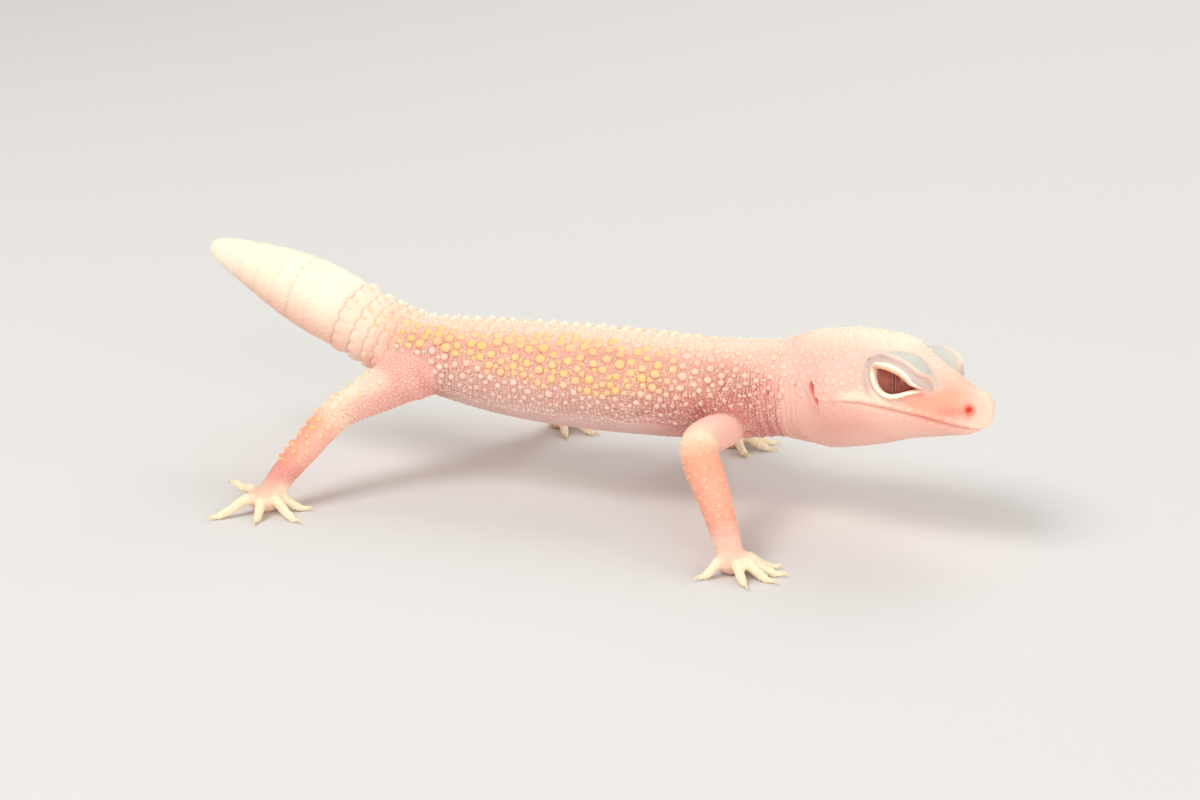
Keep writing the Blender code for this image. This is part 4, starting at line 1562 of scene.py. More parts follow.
        folds = body * between(x, 35, 40, 3.0) * ramp(round_, 38, 80) * 0.60
        groin = 0.95 * self.carver.groin(where) * (1 - 0.4 * limb)
        wrists = limb * bell(along - 4.0, 0.55) * (1 - toes) * np.where(legs, 0.55, 0.15)
        thigh = limb * legs * (1 - ramp(along, 1.2, 2.3)) * 0.33 * (1 - thigh_top)
        cheek = skull * bell(lengths((head - [24, 0, -2.6]) / [6, 30, 3.8]), 1.0) * 0.36
        neck = body * between(x, 42, 52, 4) * ramp(round_, 50, 110) * 0.08
        shoulder = body * between(x, 20, 34, 8) * ramp(round_, 45, 90) * 0.34
        rose = np.max([self._arm_pits(where), folds, groin, wrists, thigh, cheek, neck, shoulder], 0)
        rose = rose * (1 + 0.12 * mottle)

        low_edge = 82 - 24 * (1 - ramp(x, -30, -8)) - 5 * ramp(x, 4, 16)
        high_edge = np.where(where.turn > 0, 46.0, 30.0)
        flank = between(round_ + 5 * mottle, high_edge, low_edge, 8) * between(x, -41, 17, 7)
        flank = np.maximum(flank, 0.25 * between(round_, 20, 80, 15) * between(x, 10, 44, 6))
        whorls = between(x, -45, -33, 2.5) * between(round_, 16, 58, 10) * (where.turn < 0)
        gold = np.max([body * flank, 0.40 * body * between(x, -48, 26, 6) * between(-turn, 2, 34, 6),
                       0.62 * body * whorls, 0.26 * limb * between(along, 1.3, 3.9, 0.5) * (1 + 1.2 * legs),
                       0.16 * toes, 0.06 * skull * (1 - ramp(head_turn, 40, 110))], 0)
        pale = body * (0.42 + 0.40 * between(round_, 62, 112, 14)) + 0.22 * skull + 0.5 * body * (x < -36)
        pale = pale + (0.24 + 0.34 * self.anatomy.haunch(where)) * limb

        blue, dusk, crest = self._orbits(where)
        keep = 1 - np.maximum(blue, dusk) * (1 - crest)
        shares = {"cream": np.maximum(cream, crest) * keep * (1 - 0.9 * np.clip(rose - 0.4, 0, 1)),
                  # lilac is the upper lids' own colour, and painted shade on the belly and under the jaw.
                  "orange": orange * keep, "lilac": np.max([0.9 * belly, chin, dusk], 0),
                  "rose": rose * keep, "blue": blue * (1 - crest), "red": self._reds(where), "gold": gold,
                  # fold is shade painted into creases, pits and the groin's fold.
                  "fold": np.maximum(crease, 0.50 * groin),
                  "pleat": body * between(x, -34, 44, 2) * between(round_, 22, 122, 16), "pale": pale,
                  # shade is painted shade on the middle and lower flanks.
                  "shade": body * between(x, -33, 34, 4) * between(round_ + 4 * mottle, 54, 98, 20),
                  "straw": np.max([0.20 * toes, 0.20 * elbow, 0.07 * flank * body], 0)}
        made = {word: np.clip(share, 0.0, 1.0) for word, share in shares.items()}
        made["along"], made["round"] = where.arc, where.turn
        return made


# --- Finishes


class Pigment(Enum):
    """The animal's colours, as display values. Some of them are painted shade, and one is partly a painted
    sheen.
    """

    PINK = (0.985, 0.775, 0.715)
    CREAM = (1.000, 0.945, 0.845)
    ORANGE = (0.985, 0.665, 0.545)
    # Lilac of the upper lids, also painted shade on the belly and under the jaw.
    LILAC = (0.880, 0.730, 0.700)
    # Rose of the armpits, groin and folds, also painted shade in the wrinkles' valleys.
    ROSE = (0.860, 0.490, 0.460)
    # Blue-grey of the orbits, also a painted shadow behind each eye.
    BLUE = (0.775, 0.800, 0.755)
    RED = (0.900, 0.340, 0.260)
    GOLD = (0.985, 0.785, 0.445)
    # Painted shade, multiplied over the middle and lower flanks.
    SHADE = (0.905, 0.855, 0.830)
    PEARL = (1.000, 0.915, 0.870)
    # Painted shade in the creases, grooves and pits.
    CREASE_SHADE = (0.820, 0.440, 0.410)
    LID = (0.990, 0.965, 0.900)
    LID_EDGE = (0.930, 0.620, 0.270)
    IRIS = (0.470, 0.110, 0.040)
    # Paler iris fibres and pupil rims, also a painted sheen on the iris towards its rear and top.
    IRIS_PALE = (0.690, 0.385, 0.285)
    PUPIL = (0.060, 0.020, 0.020)
    CLAW = (0.975, 0.925, 0.790)
    CLAW_TIP = (0.920, 0.790, 0.620)
    FLOOR = (0.860, 0.855, 0.845)

    def linear(self) -> Colour:
        """The colour as the shader takes it."""
        level = [c / 12.92 if c <= 0.04045 else ((c + 0.055) / 1.055) ** 2.4 for c in self.value]
        return (*level, 1.0)


class Value:
    """A value's socket, on which Python's arithmetic adds Math nodes."""

    def __init__(self, bench: "Bench", socket: bpy.types.NodeSocket) -> None:
        """Keeps the socket and the bench that it is on."""
        self.bench = bench
        self.socket = socket

    def _math(self, operation: str, first: "Value | float", second: "Value | float") -> "Value":
        """One Math node."""
        return self.bench.node("Math", {"operation": operation}, {0: first, 1: second})

    def __add__(self, other: "Value | float") -> "Value":
        """self + other."""
        return self._math("ADD", self, other)

    __radd__ = __add__

    def __sub__(self, other: "Value | float") -> "Value":
        """self - other."""
        return self._math("SUBTRACT", self, other)

    def __rsub__(self, other: float) -> "Value":
        """other - self."""
        return self._math("SUBTRACT", other, self)

    def __mul__(self, other: "Value | float") -> "Value":
        """self * other."""
        return self._math("MULTIPLY", self, other)

    def __abs__(self) -> "Value":
        """The size without its sign."""
        return self._math("ABSOLUTE", self, 0.0)


@dataclass
class Bench:
    """One material's nodes, and short ways to add to them."""

    name: str

    def __post_init__(self) -> None:
        """Starts the material with a bare shader."""
        self.material = bpy.data.materials.new(self.name)
        self.material.use_nodes = True
        self.tree = self.material.node_tree
        self.shader = self.tree.nodes["Principled BSDF"]

    def node(self, kind: str, settings: dict[str, object], sockets: dict[int | str, object],
             out: int | str = 0) -> Value:
        """Adds a node.

        Args:
            kind: its type without ShaderNode.
            settings: its properties, or the stops of its ramp, set before its sockets.
            sockets: values or links for its inputs, by name or number.
            out: which output is wanted.

        Returns:
            That output.
        """
        made = self.tree.nodes.new("ShaderNode" + kind)
        for word, setting in settings.items():
            if word == "stops":
                for stop, (place, colour) in zip(made.color_ramp.elements, setting):
                    stop.position = place
                    stop.color = colour
            else:
                setattr(made, word, setting)
        for key, given in sockets.items():
            self.feed(made.inputs[key], given)
        return Value(self, made.outputs[out])

    def feed(self, socket: bpy.types.NodeSocket, given: object) -> None:
        """Links a value to a socket, or sets a number or a colour there.

        Args:
            socket: the input.
            given: what it gets.
        """
        if isinstance(given, Value):
            self.tree.links.new(given.socket, socket)
        else:
            socket.default_value = given.linear() if isinstance(given, Pigment) else given

    def set(self, **sockets: object) -> None:
        """Feeds the shader's own sockets, whose names are written with _ for spaces."""
        for word, given in sockets.items():
            self.feed(self.shader.inputs[word.replace("_", " ")], given)

    def read(self, word: str) -> Value:
        """A share that the mesh keeps at each point."""
        return self.node("Attribute", {"attribute_name": word}, {}, "Fac")

    def place(self) -> Value:
        """The place on the model, in metres."""
        return self.node("TexCoord", {}, {}, "Object")

    def noise(self, size: float, detail: float = 3.0) -> Value:
        """Soft noise from 0 to 1, whose patches are about size millimetres across."""
        return self.node("TexNoise", {}, {"Vector": self.place(), "Scale": 1.0 / (size * MM),
                                          "Detail": detail, "Roughness": 0.55}, "Fac")

    def cells(self, size: float) -> Value:
        """How far each place is from the middle of its cell, in a pattern of cells of this size."""
        return self.node("TexVoronoi", {"feature": "F1"},
                         {"Vector": self.place(), "Scale": 1.0 / (size * MM)}, "Distance")

    def blend(self, under: object, over: object, share: object, mode: str = "MIX") -> Value:
        """One colour over another."""
        return self.node("Mix", {"data_type": "RGBA", "blend_type": mode, "clamp_factor": True},
                         {0: share, 6: under, 7: over}, 2)

    def steps(self, given: Value, low: float, high: float) -> Value:
        """0 at low and 1 at high, smoothly."""
        return self.node("MapRange", {"interpolation_type": "SMOOTHSTEP"},
                         {"Value": given, "From Min": low, "From Max": high})

    def bump(self, height: Value, strength: float, distance: float, under: Value | None = None) -> Value:
        """A normal bent by a height.

        Args:
            height: the height, from 0 to 1.
            strength: how much of it shows.
            distance: how deep its full range is, in millimetres.
            under: the normal that it bends, if not the mesh's own.

        Returns:
            The bent normal.
        """
        sockets: dict[int | str, object] = {"Height": height, "Strength": strength, "Distance": distance * MM}
        if under is not None:
            sockets["Normal"] = under
        return self.node("Bump", {}, sockets)


@dataclass(frozen=True)
class HideFinish:
    """The skin's own finish, and the ground of the scales' finish."""

    name: str = "hide"
    roughness: float = 0.46
    glow: float = 0.30
    glow_depth: float = 1.0
    blotch: Colour = (0.90, 0.86, 0.84, 1.0)

    @staticmethod
    def pleats(bench: Bench) -> Value:
        """Fine wrinkles that run round the body, low in the wrinkles and high between them.

        Args:
            bench: the material's nodes.

        Returns:
            The wrinkles, from 0 to 1.
        """
        spot = bench.node("CombineXYZ", {}, {0: bench.read("along") * 1.35, 1: bench.read("round") * 1.4})
        return bench.node("TexNoise", {}, {"Vector": spot, "Scale": 1.0, "Detail": 2.0}, "Fac")

    def ground(self, bench: Bench) -> Value:
        """The hide's colour from its markings and blotches, with painted shade in creases, wrinkles, belly
        and flanks.

        Args:
            bench: the material's nodes.

        Returns:
            The colour.
        """
        soft = bench.noise(5.5, 3.0)
        fine = bench.noise(0.9, 4.0)
        uneven = 0.72 + soft * 0.56
        colour = bench.blend(Pigment.PINK, Pigment.CREAM, bench.read("cream") * uneven)
        colour = bench.blend(colour, Pigment.ORANGE, bench.read("orange") * uneven * 0.9)
        # The lilac is partly painted shade on the belly and under the jaw.
        colour = bench.blend(colour, Pigment.LILAC, bench.read("lilac"))
        colour = bench.blend(colour, Pigment.ROSE, bench.read("rose") * uneven)
        colour = bench.blend(colour, Pigment.GOLD, bench.read("straw"))
        # Rose in the wrinkles' valleys is painted shade.
        folds = 1.0 - bench.steps(self.pleats(bench), 0.36, 0.52)
        colour = bench.blend(colour, Pigment.ROSE, folds * bench.read("pleat") * 0.40)
        # The blue includes a painted shadow behind each eye.
        colour = bench.blend(colour, Pigment.BLUE, bench.read("blue") * (0.80 + fine * 0.2))
        # Painted shade in the creases.
        colour = bench.blend(colour, Pigment.CREASE_SHADE, bench.read("fold") * 0.62)
        colour = bench.blend(colour, Pigment.RED, bench.read("red"))
        # Painted shade on the middle and lower flanks.
        colour = bench.blend(colour, Pigment.SHADE, bench.read("shade") * (0.70 + soft * 0.6), "MULTIPLY")
        return bench.blend(colour, self.blotch, bench.steps(fine, 0.52, 0.78) * 0.30, "MULTIPLY")

    def make(self) -> bpy.types.Material:
        """The finish as a material.

        Returns:
            The material.
        """
        bench = Bench(self.name)
        cells = bench.cells(0.46)
        grain = bench.noise(0.16, 2.0)
        normal = bench.bump(1.0 - cells, 0.55, 0.10)
        normal = bench.bump(grain, 0.25, 0.03, normal)
        normal = bench.bump(self.pleats(bench) * bench.read("pleat"), 0.7, 0.40, normal)
        bench.set(Base_Color=self.ground(bench), Roughness=self.roughness + bench.noise(1.3) * 0.12,
                  Normal=normal, Subsurface_Weight=self.glow, Subsurface_Radius=(1.0, 0.42, 0.30),
                  Subsurface_Scale=self.glow_depth * MM, Specular_IOR_Level=0.38)
        return bench.material


@dataclass(frozen=True)
class ScaleFinish:
    """The finish of scales: the hide's colour at their feet, with shade painted round the feet, and their own
    colour on top.
    """

    name: str
    pearl: float
    gold: float
    roughness: float = 0.40
    grain: float = 0.35
    # How strongly shade is painted round the scales' feet.
    rim: float = 0.0
    foot_shade: Colour = (0.80, 0.60, 0.52, 1.0)
    spot_shade: Colour = (0.93, 0.88, 0.84, 1.0)

    def make(self) -> bpy.types.Material:
        """The finish as a material.

        Returns:
            The material.
        """
        bench = Bench(self.name)
        tip, tone = bench.read("tip"), bench.read("tone")
        colour = HideFinish().ground(bench)
        shine = tip * bench.read("pale") * self.pearl * (0.8 + tone * 0.4)
        colour = bench.blend(colour, Pigment.PEARL, shine)
        yellow = bench.read("gold") * (0.16 + tip * 0.84) * self.gold
        colour = bench.blend(colour, Pigment.GOLD, yellow * (0.66 + tone * 0.42))
        spots = bench.noise(0.35, 2.0)
        # Painted shade round the scales' feet, where they meet the skin.
        foot = (1.0 - bench.steps(tip, 0.04, 0.42)) * bench.read("pleat") * self.rim
        colour = bench.blend(colour, self.foot_shade, foot, "MULTIPLY")
        colour = bench.blend(colour, self.spot_shade, bench.steps(spots, 0.5, 0.8) * 0.35, "MULTIPLY")
        normal = bench.bump(bench.noise(0.22, 3.0), self.grain, 0.035)
        bench.set(Base_Color=colour, Roughness=self.roughness + spots * 0.14, Normal=normal,
                  Specular_IOR_Level=0.40)
        return bench.material


@dataclass(frozen=True)
class LidFinish:
    """The thick lids' edges: creamy white, yellow on the inner edge."""

    name: str = "lid_edge"

    def make(self) -> bpy.types.Material:
        """The finish as a material.

        Returns:
            The material.
        """
        bench = Bench(self.name)
        soft = bench.noise(0.8, 3.0)
        inner = bench.read("inner")
        colour = bench.blend(Pigment.LID, Pigment.LID_EDGE, inner * (0.70 + soft * 0.4))
        colour = bench.blend(colour, Pigment.PINK, bench.read("outer") * 0.55)
        colour = bench.blend(colour, Pigment.PEARL, bench.steps(bench.cells(0.5), 0.3, 0.5) * 0.25)
        normal = bench.bump(1.0 - bench.cells(0.42), 0.5, 0.07)
        bench.set(Base_Color=colour, Roughness=0.36 + soft * 0.1, Normal=normal, Subsurface_Weight=0.15,
                  Subsurface_Radius=(1.0, 0.6, 0.4), Subsurface_Scale=0.5 * MM)
        return bench.material


@dataclass(frozen=True)
class EyeFinish:
    """A wet red-brown eye with a slit pupil, veined iris, a painted sheen towards its rear and top, and clear
    coat.
    """

    name: str = "eye_wet"

    def make(self) -> bpy.types.Material:
        """The finish as a material.

        Returns:
            The material.
        """
        bench = Bench(self.name)
        across, height, far = bench.read("across"), bench.read("height"), bench.read("far")
        spot = bench.node("CombineXYZ", {}, {0: across * 30.0, 1: height * 4.0, 2: far * 2.0})
        fibres = bench.node("TexNoise", {}, {"Vector": spot, "Scale": 1.0, "Detail": 4.0}, "Fac")
        patches = bench.noise(1.6, 3.0)
        # rear is a painted paler sheen on the iris towards its rear and top.
        rear = bench.steps(across * 0.8 + height * 0.5 + (patches - 0.5) * 0.5, -0.25, 0.45)
        pale = bench.steps(fibres * 0.5 + patches * 0.5, 0.40, 0.75)
        colour = bench.blend(Pigment.IRIS, Pigment.IRIS_PALE, pale * 0.45 + rear * 0.36)
        wavy = abs(across + (bench.noise(0.5, 2.0) - 0.5) * 0.045)
        reach = 1.0 - bench.steps(abs(height), 0.60, 0.74)
        rim = (1.0 - bench.steps(abs(wavy - 0.045), 0.008, 0.030)) * reach
        colour = bench.blend(colour, Pigment.IRIS_PALE, rim * 0.6)
        colour = bench.blend(colour, Pigment.PUPIL, (1.0 - bench.steps(wavy, 0.014, 0.034)) * reach)
        colour = bench.blend(colour, Pigment.PUPIL, bench.steps(far, 0.84, 0.97) * 0.7)
        normal = bench.bump(fibres, 0.18, 0.03)
        bench.set(Base_Color=colour, Roughness=0.28 + patches * 0.1, Normal=normal, Coat_Weight=0.8,
                  Coat_Roughness=0.03, Specular_IOR_Level=0.3)
        return bench.material


@dataclass(frozen=True)
class ClawFinish:
    """Pale horn, darker and smoother towards the point."""

    name: str = "claw_horn"

    def make(self) -> bpy.types.Material:
        """The finish as a material.

        Returns:
            The material.
        """
        bench = Bench(self.name)
        tip = bench.read("tip")
        streaks = bench.noise(0.3, 3.0)
        colour = bench.blend(Pigment.CLAW, Pigment.CLAW_TIP, tip * (0.6 + streaks * 0.5))
        bench.set(Base_Color=colour, Roughness=0.42 - tip * 0.14, Normal=bench.bump(streaks, 0.2, 0.02),
                  Coat_Weight=0.2, Coat_Roughness=0.2)
        return bench.material


@dataclass(frozen=True)
class FloorFinish:
    """A matt pale floor."""

    name: str = "floor_paper"
    fibre_tone: Colour = (0.80, 0.79, 0.77, 1.0)

    def make(self) -> bpy.types.Material:
        """The finish as a material.

        Returns:
            The material.
        """
        bench = Bench(self.name)
        fibre = bench.noise(2.5, 4.0)
        colour = bench.blend(Pigment.FLOOR, self.fibre_tone, fibre * 0.10)
        bench.set(Base_Color=colour, Roughness=0.72 + fibre * 0.06, Normal=bench.bump(fibre, 0.05, 0.05),
                  Specular_IOR_Level=0.2)
        return bench.material


# --- The coat


def tree_of(places: Floats) -> KDTree:
    """A tree to find these places in.

    Args:
        places: rows of places.

    Returns:
        The tree, in which they keep their numbers.
    """
    tree = KDTree(len(places))
    for i, place in enumerate(places):
        tree.insert(place, i)
    tree.balance()
    return tree


def free_in(tree: KDTree, count: int, taken: tuple[Floats, Floats]) -> NDArray[np.bool_]:
    """Whether each of a tree's places keeps clear of the places that are taken already.

    Args:
        tree: the tree.
        count: how many places it holds.
        taken: places that are taken, and how far round each the others must stay away.

    Returns:
        True for each place that is free.
    """
    free = np.ones(count, bool)
    for place, far in zip(*taken):
        for _, i, _ in tree.find_range(place, far):
            free[i] = False
    return free


@dataclass
class Seats:
    """Where scales stand on the skin, and which way they lie."""

    places: Floats
    normals: Floats
    crease: Floats
    where: Whereabouts = field(init=False)


@dataclass
class Ground:
    """The finished skin, to which scales are fixed."""

    anatomy: Anatomy
    shell: Shell
    where: Whereabouts
    crease: Floats

    def __post_init__(self) -> None:
        """Works out the normals and a tree to find the skin with."""
        self.normals = self.shell.normals()
        faces = self.shell.faces
        a, b, c = (self.shell.places[faces[:, k]] for k in range(3))
        self.areas = lengths(np.cross(b - a, c - a)) / 2
        self.tree = BVHTree.FromPolygons([Vector(p) for p in self.shell.places], faces.tolist())

    def seats(self, faces: Ints, shares: Floats) -> Seats:
        """Seats at given spots of given faces.

        Args:
            faces: the faces' numbers.
            shares: each spot's share of its face's three corners.

        Returns:
            The seats.
        """
        corners = self.shell.faces[faces]
        places = (self.shell.places[corners] * shares[:, :, None]).sum(1)
        normals = unit((self.normals[corners] * shares[:, :, None]).sum(1))
        made = Seats(places, normals, (self.crease[corners] * shares).sum(1))
        made.where = self.anatomy.where(places)
        return made

    def under(self, starts: Floats, runs: Floats, reach: float) -> Seats:
        """Seats where rays first meet the skin. A ray that meets nothing gives none.

        Args:
            starts: where the rays start.
            runs: which way they go.
            reach: how far they go.

        Returns:
            The seats.
        """
        faces, shares = [], []
        for start, run in zip(starts, runs):
            spot, _, face, _ = self.tree.ray_cast(Vector(start), Vector(run), reach)
            if spot is None:
                continue
            a, b, c = self.shell.places[self.shell.faces[face]]
            whole = np.cross(b - a, c - a)
            size = max(whole @ whole, 1e-12)
            p = np.array(spot)
            u, v = np.cross(c - b, p - b) @ whole / size, np.cross(a - c, p - c) @ whole / size
            faces.append(face)
            shares.append((u, v, 1 - u - v))
        return self.seats(np.array(faces, np.int64), np.clip(np.array(shares), 0.0, 1.0))

    def scatter(self, spacing: Floats, keep: Floats, seed: int, taken: tuple[Floats, Floats] | None = None,
                tries: float = 5.0) -> Seats:
        """Seats strewn evenly over part of the skin.

        Args:
            spacing: the distance between neighbours, at each point of the skin.
            keep: above one half where seats are wanted, at each point of the skin.
            seed: which scatter.
            taken: places that are taken already, and how far round them no seat may be.
            tries: how many spots are tried for each one wanted.

        Returns:
            The seats.
        """
        chance = np.random.default_rng(seed)
        faces = self.shell.faces
        wanted = self.areas / spacing[faces].mean(1) ** 2 * (keep[faces].mean(1) > 0.5)
        count = int(wanted.sum() * tries)
        pick = chance.choice(len(faces), count, p=wanted / wanted.sum())
        first, second = np.sqrt(chance.random(count)), chance.random(count)
        shares = np.stack([1 - first, first * (1 - second), first * second], 1)
        places = (self.shell.places[faces[pick]] * shares[:, :, None]).sum(1)
        gaps = (spacing[faces[pick]] * shares).sum(1)
        tree = tree_of(places)
        free = free_in(tree, count, taken or ((), ()))
        kept = []
        for i in range(count):
            if free[i]:
                kept.append(i)
                for _, near, _ in tree.find_range(places[i], gaps[i]):
                    free[near] = False
        return self.seats(pick[kept], shares[kept])

    def chart(self, where: Whereabouts) -> Floats:
        """The skin's unwrap: body, head, limbs and hands, each in its own part of the map.

        Args:
            where: the places.

        Returns:
            A place on the map for each.
        """
        flat = np.stack([0.01 + 0.97 * where.arc / self.anatomy.spine.arc[-1],
                         0.02 + 0.40 * (where.turn / TAU + 0.5)], 1)
        round_head = np.arctan2(where.head[:, 1], where.head[:, 2])
        skull = np.stack([0.01 + 0.011 * (where.head[:, 0] + 1.5), 0.46 + 0.25 * (round_head / TAU + 0.5)], 1)
        flat = np.where(where.head_share[:, None] > 0.5, skull, flat)
        for k, limb in enumerate(self.anatomy.limbs):
            index = np.clip(where.limb_along * limb.per_span, 0, len(limb.line) - 1)
            offset = where.places - rows_at(limb.line, index)
            run = unit(limb.line[-2] - limb.line[0])
            side = unit(np.cross(run, np.array([0.0, 0.0, 1.0])))
            turn = np.arctan2(offset @ side, offset @ np.cross(side, run))
            bar = np.stack([0.52 + 0.09 * where.limb_along, 0.46 + 0.065 * k + 0.055 * (turn / TAU + 0.5)], 1)
            hand = 0.012 * (where.places[:, :2] - limb.palm[:2]) + np.array([0.13 + 0.25 * k, 0.86])
            mine = ((where.limb == k) & (where.limb_share > 0.5))[:, None]
            flat = np.where(mine, np.where(where.hand_share[:, None] > 0.5, hand, bar), flat)
        return np.clip(flat, 0.004, 0.996)


@dataclass(frozen=True)
class DomeShape:
    """How a scale rises: its rings as shares of its radius, round and sharp, and of its height."""

    corners: int
    round_rings: tuple[float, ...]
    sharp_rings: tuple[float, ...]
    heights: tuple[float, ...]
    sink: float = 0.14
    rough: float = 0.05
    patch: float = 0.003


TUBERCLE = DomeShape(12, (1.06, 1.0, 0.90, 0.66, 0.34), (1.06, 0.96, 0.70, 0.40, 0.17),
                     (-1, 0.14, 0.50, 0.82, 0.97))
BEAD = DomeShape(9, (1.04, 0.96, 0.62), (1.04, 0.80, 0.36), (-1, 0.30, 0.86))
GRANULE = DomeShape(6, (1.0, 0.66), (1.0, 0.50), (-1, 0.80), sink=0.07)
PLATE = DomeShape(12, (1.04, 1.0, 0.84, 0.5), (1.04, 1.0, 0.84, 0.5), (-1, 0.30, 0.86, 1.0), sink=0.2)


@dataclass
class Scales:
    """A kind of scale: its seats, its three half sizes, its sharpness and its lean."""

    name: str
    seats: Seats
    length: Floats
    width: Floats
    height: Floats
    shape: DomeShape
    sharp: Floats
    lean: Floats
    seed: int
    most_faces: int = 190000

    def build(self, ground: Ground, markings: Markings, finish: bpy.types.Material) -> None:
        """Builds the scales as closed domes, in pieces that each stay small enough.

        Args:
            ground: the skin under them.
            markings: the colours they share with it.
            finish: their material.
        """
        shape, count = self.shape, len(self.seats.places)
        per_scale = 2 * shape.corners * len(shape.heights)
        parts = max(1, math.ceil(count * per_scale / self.most_faces))
        order = np.argsort(self.seats.places[:, 0], kind="stable")
        shares = markings.at(self.seats.where, self.seats.crease)
        shares["tone"] = np.random.default_rng(self.seed).random(count)
        chart = ground.chart(self.seats.where)
        for part, pick in enumerate(np.array_split(order, parts)):
            name = self.name if parts == 1 else f"{self.name}_{part + 1}"
            show(name, self._mesh(name, pick, shares, chart), finish)

    def _mesh(self, name: str, pick: Ints, shares: Fields, chart: Floats) -> bpy.types.Mesh:
        """The mesh of some of the scales.

        Args:
            name: the mesh's name.
            pick: the scales' numbers.
            shares: every scale's markings.
            chart: every scale's place on the bake's map.

        Returns:
            The mesh.
        """
        shape, count = self.shape, len(pick)
        chance = np.random.default_rng(self.seed + len(name))
        normal = self.seats.normals[pick]
        lie = self.seats.where.lie[pick]
        lie = unit(lie - normal * (lie * normal).sum(1)[:, None])
        side = np.cross(normal, lie)
        turned = TAU * np.arange(shape.corners) / shape.corners
        round_, sharp_ = np.array(shape.round_rings), np.array(shape.sharp_rings)
        rings = round_ + (sharp_ - round_) * self.sharp[pick][:, None]
        wobble = 1.0 + shape.rough * chance.normal(size=(count, 1, shape.corners))
        along = rings[:, :, None] * np.cos(turned) * wobble
        across = rings[:, :, None] * np.sin(turned) * wobble
        levels = np.array(shape.heights)
        rise = np.where(levels < 0, -shape.sink, np.maximum(levels, 0) * self.height[pick][:, None])
        slide = self.lean[pick][:, None] * np.maximum(levels, 0) ** 1.3
        rows = (self.seats.places[pick][:, None, None]
                + lie[:, None, None] * (along * self.length[pick][:, None, None]
                                        + slide[:, :, None])[..., None]
                + side[:, None, None] * (across * self.width[pick][:, None, None])[..., None]
                + normal[:, None, None] * np.broadcast_to(rise[:, :, None], along.shape)[..., None])
        top = (self.seats.places[pick] + lie * self.lean[pick][:, None] + normal * self.height[pick][:, None])
        foot = self.seats.places[pick] - normal * shape.sink
        per = shape.corners * len(levels) + 2
        places = np.concatenate([rows.reshape(count, -1, 3), top[:, None], foot[:, None]], 1).reshape(-1, 3)
        template = Shell.from_rings(np.zeros((len(levels), shape.corners, 3)), np.zeros(3), np.zeros(3)).faces
        swap = np.array([*range(per - 2), per - 1, per - 2])
        faces = (swap[template][None] + per * np.arange(count)[:, None, None]).reshape(-1, 3)
        spread = shape.patch / 2
        spots = np.zeros((count, per, 2))
        spots[:, :-2, 0] = (along / 1.2).reshape(count, -1)
        spots[:, :-2, 1] = (across / 1.2).reshape(count, -1)
        uv = (chart[pick][:, None] + spots * spread).reshape(-1, 2)
        fields = {word: np.repeat(values[pick], per) for word, values in shares.items()}
        tips = np.concatenate([np.repeat(np.maximum(levels, 0), shape.corners), [1.0, 0.0]])
        fields["tip"] = np.tile(tips, count)
        return mesh_of(name, Shell(places, faces), fields, uv)


def varied(chance: np.random.Generator, spread: float, count: int) -> Floats:
    """Random factors round 1."""
    return 1 + spread * chance.normal(size=count)


